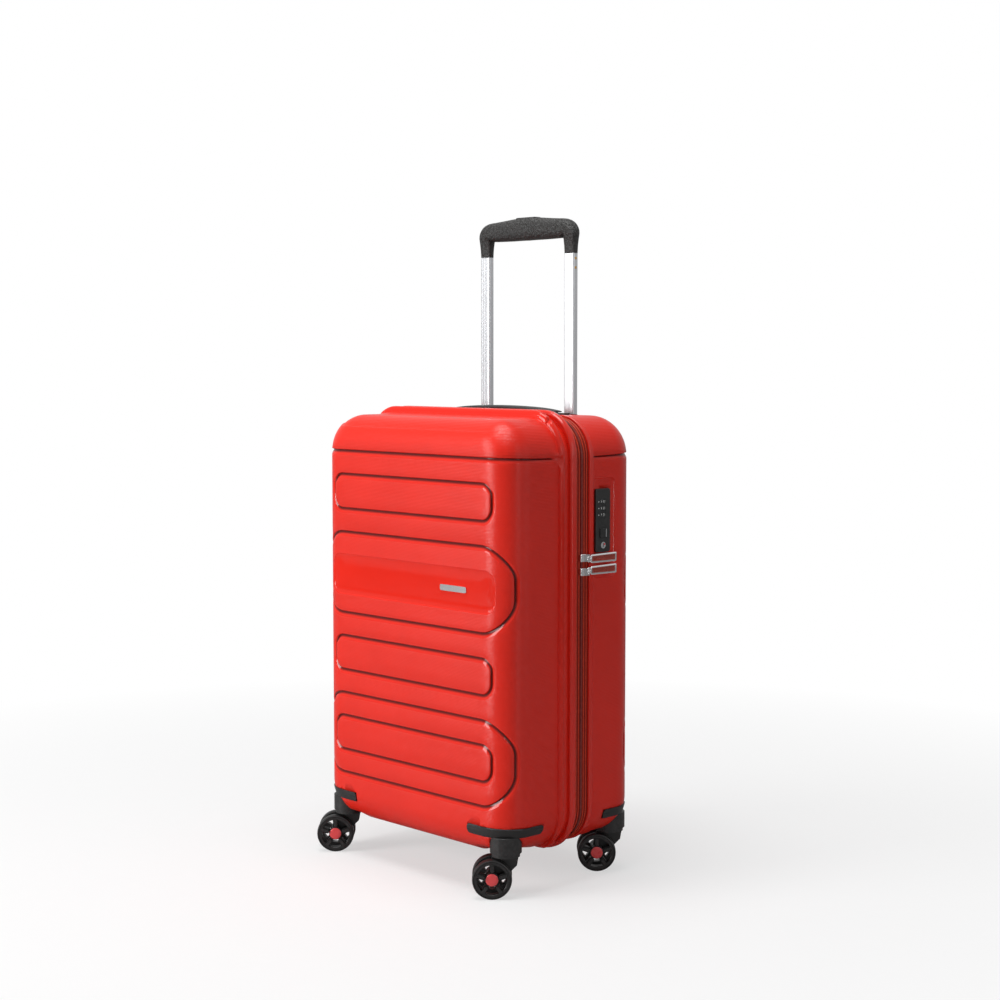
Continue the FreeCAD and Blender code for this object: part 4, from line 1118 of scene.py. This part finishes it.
def make_grip():
    bm = bmesh.new()
    loft(bm, [grip_ring(bm, i / GRIP_RINGS) for i in range(GRIP_RINGS + 1)])
    grip = as_piece(bm, "grip_moulded", "grip_black", "trolley", ["trolley_grip"], sharp=50)
    cutters = bmesh.new()
    gap = Vector((0.3, 0.3, 0)) * MM
    low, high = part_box("trolley_button")
    add_block(cutters, Vector((low.x, low.y, (ROD_BAR_TOP - 3.4) * MM)) - gap,
              high + gap + Vector((0, 0, 8)) * MM, BUTTON_CORNER * MM)
    for side in (-1, 1):
        socket = at(side * GRIP_X, GRIP_Y, GRIP_FOOT + 8.0)
        reach = Vector((7.85, 4.35, 12.0)) * MM
        add_block(cutters, socket - reach, socket + reach, 2.0 * MM)
        add_block(cutters, at(side * GRIP_X - CHANNEL, GRIP_Y - CHANNEL, GRIP_FOOT + 19),
                  at(side * GRIP_X + CHANNEL, GRIP_Y + CHANNEL, ROD_BAR_TOP))
    add_block(cutters, at(-GRIP_X - CHANNEL, GRIP_Y - CHANNEL, ROD_BAR_TOP - 6.4),
              at(GRIP_X + CHANNEL, GRIP_Y + CHANNEL, ROD_BAR_TOP + 0.3))
    bmesh.ops.recalc_face_normals(cutters, faces=cutters.faces)
    cut_away(grip, cutters)
    grip.data.set_sharp_from_angle(angle=math.radians(50))
    print("grip faces", len(grip.data.polygons), "with rods and a button")


make_grip()
make_rods()
make_button()

# %% [markdown]
# The carry handle is a flexible strap of moulded plastic that lies in a low arch just over the case. It
# is a loft of flat ovals along the arch, with a straight leg down through each slot and a foot that
# catches under the shell.

# %% Carry handle
STRAP_RINGS, STRAP_FOOT, STRAP_ARCH = 48, 541.2, 3.6


def strap_ring(bm, t, centre, half_long, half_wide):
    """The flat oval at one place along the strap, from -1 at one end to 1 at the other."""
    thick = (0.9 + 1.4 * (1 - abs(t) ** 6)) * MM
    wide = half_wide * (0.55 + 0.45 * (1 - abs(t) ** 5))
    height = STRAP_FOOT * MM + STRAP_ARCH * MM * (1 - t * t)
    return ring_edges(bm, 24, lambda c, s: Vector((
        centre.x + t * half_long, centre.y + squared(c, 0.75) * wide, height + squared(s, 0.75) * thick)))


def make_carry_handle():
    bm = bmesh.new()
    low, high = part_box("carry_handle")
    half_long, half_wide = (high.x - low.x) / 2 - 1 * MM, (high.y - low.y) / 2
    loft(bm, [strap_ring(bm, -1 + 2 * i / STRAP_RINGS, (low + high) / 2, half_long, half_wide)
              for i in range(STRAP_RINGS + 1)])
    for side in (-1, 1):
        leg = at(side * LEG_X, LEG_Y, 0)
        for half_x, half_y, top in ((5.9, 5.4, 541.0 * MM), (8.8, 8.3, low.z + 3.0 * MM)):
            half = Vector((half_x, half_y, 0)) * MM
            add_block(bm, leg - half + Vector((0, 0, low.z)), leg + half + Vector((0, 0, top)), 1.2 * MM)
    as_piece(bm, "carry_strap", "black_plastic", "carry_handle", ["carry_handle"], sharp=50)
    print("strap from", round(low.x, 4), "to", round(high.x, 4))


make_carry_handle()

# %% [markdown]
# The zip pulls are die-cast and plated frames round a coloured inlay. A plate gets rounded corners, its
# face is inset for the frame and sunk for the inlay, and the inlay takes the shell's red. The eye and the
# tongue that carry it on the slider's pin come from the frame's own measures.

# %% Zip pulls
PULL_HALF_HIGH, PULL_SHIFT = 5.4, 1.3
finishes["pull_inlay"] = make_moulded("pull_inlay", (0.40, 0.05, 0.03), 0.3, 0.0006, 0.000005)


def add_ring(bm, centre, radius, thickness):
    """A round wire ring whose hole faces along X."""
    before = set(bm.verts)
    upright = Matrix.Rotation(math.pi / 2, 4, "X")
    made = bmesh.ops.create_circle(bm, segments=12, radius=thickness, matrix=upright)["verts"]
    bmesh.ops.translate(bm, verts=made, vec=(radius, 0, 0))
    edges = list({e for v in made for e in v.link_edges})
    bmesh.ops.spin(bm, geom=made + edges, cent=(0, 0, 0), axis=(0, 0, 1), angle=2 * math.pi, steps=32,
                   use_merge=True)
    bmesh.ops.transform(bm, verts=[v for v in bm.verts if v not in before],
                        matrix=Matrix.Translation(centre) @ Matrix.Rotation(math.pi / 2, 4, "Y"))


def make_pull(name, shift):
    low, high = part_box("zip_pull_" + name)
    z = (low.z + high.z) / 2 + shift * MM
    plate_start = low.y + 4.4 * MM
    bm = bmesh.new()
    add_block(bm, Vector((low.x, plate_start, z - PULL_HALF_HIGH * MM)),
              Vector((high.x, high.y, z + PULL_HALF_HIGH * MM)))
    for v in bm.verts:
        if v.co.y < plate_start + 1e-6:
            v.co.z = z + (v.co.z - z) * 0.9
    bevel(bm, [e for e in bm.edges if abs(e.verts[0].co.x - e.verts[1].co.x) > 1e-6], 2.0 * MM, 5)
    bevel(bm, [e for e in bm.edges if all(v.co.x > high.x - 1e-6 for v in e.verts)], 0.45 * MM, 3)
    face = max(bm.faces, key=lambda f: f.normal.x * f.calc_area())
    bmesh.ops.inset_individual(bm, faces=[face], thickness=1.5 * MM, depth=0.0)
    bmesh.ops.inset_individual(bm, faces=[face], thickness=0.2 * MM, depth=-0.5 * MM)
    face.material_index = 1
    eye = Vector(((low.x + high.x) / 2, low.y + 2.0 * MM, z))
    neck, half_neck = eye + Vector((0, 2.0, 0)) * MM, Vector((0.75, 2.0, 1.5)) * MM
    add_block(bm, neck - half_neck, neck + half_neck)
    add_rod(bm, eye, 1.9 * MM, 3.0 * MM, 32)
    add_ring(bm, eye + Vector((0, 0.8, 0)) * MM, 3.1 * MM, 0.75 * MM)
    piece = as_piece(bm, "pull_" + name, "zinc_chrome", "zip_pull_" + name, ["zip_pull_" + name])
    piece.data.materials.append(finishes["pull_inlay"])
    print("pull", name, "faces", len(piece.data.polygons))


for name, shift in (("upper", -PULL_SHIFT), ("lower", PULL_SHIFT)):
    make_pull(name, shift)

# %% [markdown]
# The combination dials carry ten raised digits each, the only lettering on the case. A white dot beside
# each window marks the digit that counts. The release is a square block with a bright line down its
# right edge, under a dark slot.

# %% Lock details
finishes["mark_white"] = make_moulded("mark_white", (0.78, 0.78, 0.76), 0.5, 0.0004, 0.000002)
finishes["mark_red"] = make_moulded("mark_red", (0.60, 0.03, 0.03), 0.4, 0.0004, 0.000002)
DIGIT_SIZE, DIGIT_PROUD = 4.2, 0.06


def digit_mesh(text):
    curve = bpy.data.curves.new("digit", "FONT")
    curve.body = text
    curve.size = DIGIT_SIZE * MM
    curve.align_x, curve.align_y = "CENTER", "CENTER"
    curve.extrude = DIGIT_PROUD * MM
    curve.resolution_u = 3
    holder = new_object("digit", curve)
    mesh = bpy.data.meshes.new_from_object(holder.evaluated_get(bpy.context.evaluated_depsgraph_get()))
    bpy.data.objects.remove(holder)
    return mesh


digits = [digit_mesh(str(n)) for n in range(10)]
face_out = Matrix(((0, 0, 1), (1, 0, 0), (0, 1, 0))).to_4x4()
for number in (1, 2, 3):
    low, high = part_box("lock_dial_%d" % number)
    centre = (low + high) / 2
    radius = (high.x - low.x) / 2
    bm = bmesh.new()
    for n, mesh in enumerate(digits):
        turn = Matrix.Rotation(math.radians(36.0 * n), 4, "Z")
        first = len(bm.verts)
        bm.from_mesh(mesh)
        bm.verts.ensure_lookup_table()
        bmesh.ops.transform(bm, verts=bm.verts[first:], matrix=Matrix.Translation(centre) @ turn @
                            Matrix.Translation((radius + 0.02 * MM, 0, 0)) @ face_out)
    as_piece(bm, "dial_%d_digits" % number, "mark_white", "lock_dial_%d" % number)

lock_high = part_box("lock_housing")[1]
lock_middle = middle("lock_housing").y
bm = bmesh.new()
for number in (1, 2, 3):
    dial = middle("lock_dial_%d" % number)
    add_dome(bm, (lock_high.x, lock_middle - 7.4 * MM, dial.z), 0.25 * MM, 0.75 * MM, 16)
as_piece(bm, "lock_index_dots", "mark_white", "rear_case", sharp=80)
bm = bmesh.new()
key = middle("lock_key_cylinder")
mark_place = Vector((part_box("lock_key_cylinder")[1].x, key.y + 1.9 * MM, key.z + 1.2 * MM))
bmesh.ops.create_cone(bm, cap_ends=True, segments=24, radius1=1.3 * MM, radius2=1.1 * MM, depth=0.4 * MM,
                      matrix=Matrix.Translation(mark_place) @ Matrix.Rotation(math.pi / 2, 4, "Y"))
as_piece(bm, "key_mark", "mark_red", "lock_key_cylinder")
bm = bmesh.new()
low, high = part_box("lock_release_button")
add_block(bm, Vector((high.x - 0.5 * MM, high.y - 2.2 * MM, low.z + 1.2 * MM)),
          Vector((high.x + 0.25 * MM, high.y - 1.3 * MM, high.z - 1.2 * MM)))
as_piece(bm, "release_edge", "zinc_chrome", "lock_release_button")
print("digits on each dial:", len(digits))

# %% [markdown]
# The coil is a nylon spiral sewn to the tapes. From outside it shows as a row of short bars across the
# gap. Each is a block with soft corners, set round the case's outline at an even pitch.

# %% Zip coil
TOOTH_PITCH, TOOTH_LEAN, COIL_CORNER = 1.5, 0.12, 45.0
TOOTH_SIZE = Vector((0.95, 2.35, 1.3)) * MM
low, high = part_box("zip_coil")
coil_y = (low.y + high.y) / 2
half_x, half_z = (high.x - low.x) / 2 / MM - 0.75, (high.z - low.z) / 2 / MM - 0.75
coil_line = rounded_loop(0, 0, half_x, half_z, COIL_CORNER, step=1.0)[0]
closed = np.concatenate([coil_line, coil_line[:1]])
along = np.concatenate([[0], np.cumsum(np.linalg.norm(np.diff(closed, axis=0), axis=1))])
count = int(along[-1] // TOOTH_PITCH)
places = np.linspace(0, along[-1], count, endpoint=False)
xs, zs = (np.interp(places, along, closed[:, i]) for i in (0, 1))
bm = bmesh.new()
loop_middle = Vector(((low.x + high.x) / 2, coil_y, (low.z + high.z) / 2))
for i in range(count):
    ahead = (i + 1) % count
    tilt = math.atan2(zs[ahead] - zs[i], xs[ahead] - xs[i])
    place = Matrix.Translation(loop_middle + Vector((xs[i], 0, zs[i])) * MM)
    turn = Matrix.Rotation(-tilt, 4, "Y") @ Matrix.Rotation(TOOTH_LEAN, 4, "Z")
    bmesh.ops.create_cube(bm, size=1.0, matrix=place @ turn @ Matrix.Diagonal((*TOOTH_SIZE, 1)))
bevel(bm, bm.edges[:], 0.28 * MM, 1)
as_piece(bm, "coil_teeth", "coil_red", "rear_case", sharp=80)
print("zip teeth:", count)

# %% [markdown]
# Each tape has two raised cords woven into it, which show as fine bright lines beside the coil.

# %% Cords of the tapes
finishes["cord_red"] = make_moulded("cord_red", (0.75, 0.05, 0.012), 0.4, 0.0006, 0.00001)
CORD_RADIUS = 0.55


def add_hoop(bm, half_x, half_z, y):
    """A thin round cord right round the case at one depth."""
    line, ways = rounded_loop(0, 0, half_x, half_z, COIL_CORNER, step=9.0)
    rings = [ring_edges(bm, 6, lambda out, over: loop_middle + Vector((
        x * MM + wx * out, y + over - loop_middle.y, z * MM + wz * out)), CORD_RADIUS * MM)
        for (x, z), (wx, wz) in zip(line, ways)]
    for a, b in zip(rings, rings[1:] + rings[:1]):
        bmesh.ops.bridge_loops(bm, edges=a + b)


for half, shares in (("front", (0.3, 0.72)), ("rear", (0.28, 0.7))):
    low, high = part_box("zip_tape_" + half)
    size = (high - low) / MM
    bm = bmesh.new()
    for share in shares:
        add_hoop(bm, size.x / 2 + 0.1, size.z / 2 + 0.1, low.y + (high.y - low.y) * share)
    as_piece(bm, "zip_tape_" + half + "_cords", "cord_red", half + "_case", sharp=80)
print("two cords on each tape")

# %% [markdown]
# Each half is lined with polyester cloth, glued in a little clear of the shell. A lining is cut as one
# sheet with its corners taken out, and folds up along the walls. It keeps the frame's shape, since it is
# held flat against the shell, and its creases are in its finish.

# %% Linings
def make_lining(half):
    bm = merged_copy(half + "_lining")
    area = sum(f.calc_area() for f in bm.faces) / 2
    piece = as_piece(bm, half + "_lining_cloth", "lining_grey", half + "_case", [half + "_lining"])


make_lining("front")
make_lining("rear")

# %% [markdown]
# The hinge is a strip of the same cloth, stitched inside both halves along the side away from the lock.
# It is a grid a millimetre thick.

# %% Fabric hinge
low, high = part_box("hinge_strip")
HINGE_THICK, HINGE_REACH = 0.9 * MM, 8.0 * MM
hinge_low_y, hinge_high_y = low.y - HINGE_REACH, high.y
bm = bmesh.new()
bmesh.ops.create_grid(bm, x_segments=16, y_segments=48, size=0.5)
size_y, size_z = hinge_high_y - hinge_low_y, high.z - low.z
for v in bm.verts:
    v.co = Vector(((low.x + high.x) / 2, (hinge_low_y + hinge_high_y) / 2 + v.co.x * size_y,
                   (low.z + high.z) / 2 + v.co.y * size_z))
bmesh.ops.solidify(bm, geom=bm.faces[:], thickness=HINGE_THICK)
bmesh.ops.recalc_face_normals(bm, faces=bm.faces)
hinge = new_object("hinge_cloth", mesh_of(bm, "hinge_cloth"))
hinge.data.materials.append(finishes["lining_grey"])
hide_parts("hinge_strip")
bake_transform(hinge)
print("hinge strip", round(size_y, 4), "by", round(size_z, 4), "m")

# %% [markdown]
# Two brass rivets hold the grip to each tube, on the tube's outer side just below it. They are made on the
# right tube.

# %% Rivets
bm = bmesh.new()
low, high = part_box("trolley_inner_tube_right")
for drop in (6.0, 17.0):
    add_dome(bm, (high.x, (low.y + high.y) / 2, (GRIP_FOOT - drop) * MM), 0.22 * MM, 1.7 * MM, 20)
as_piece(bm, "tube_rivets", "brass", "trolley", sharp=80)
print("rivets on the right tube: 2")
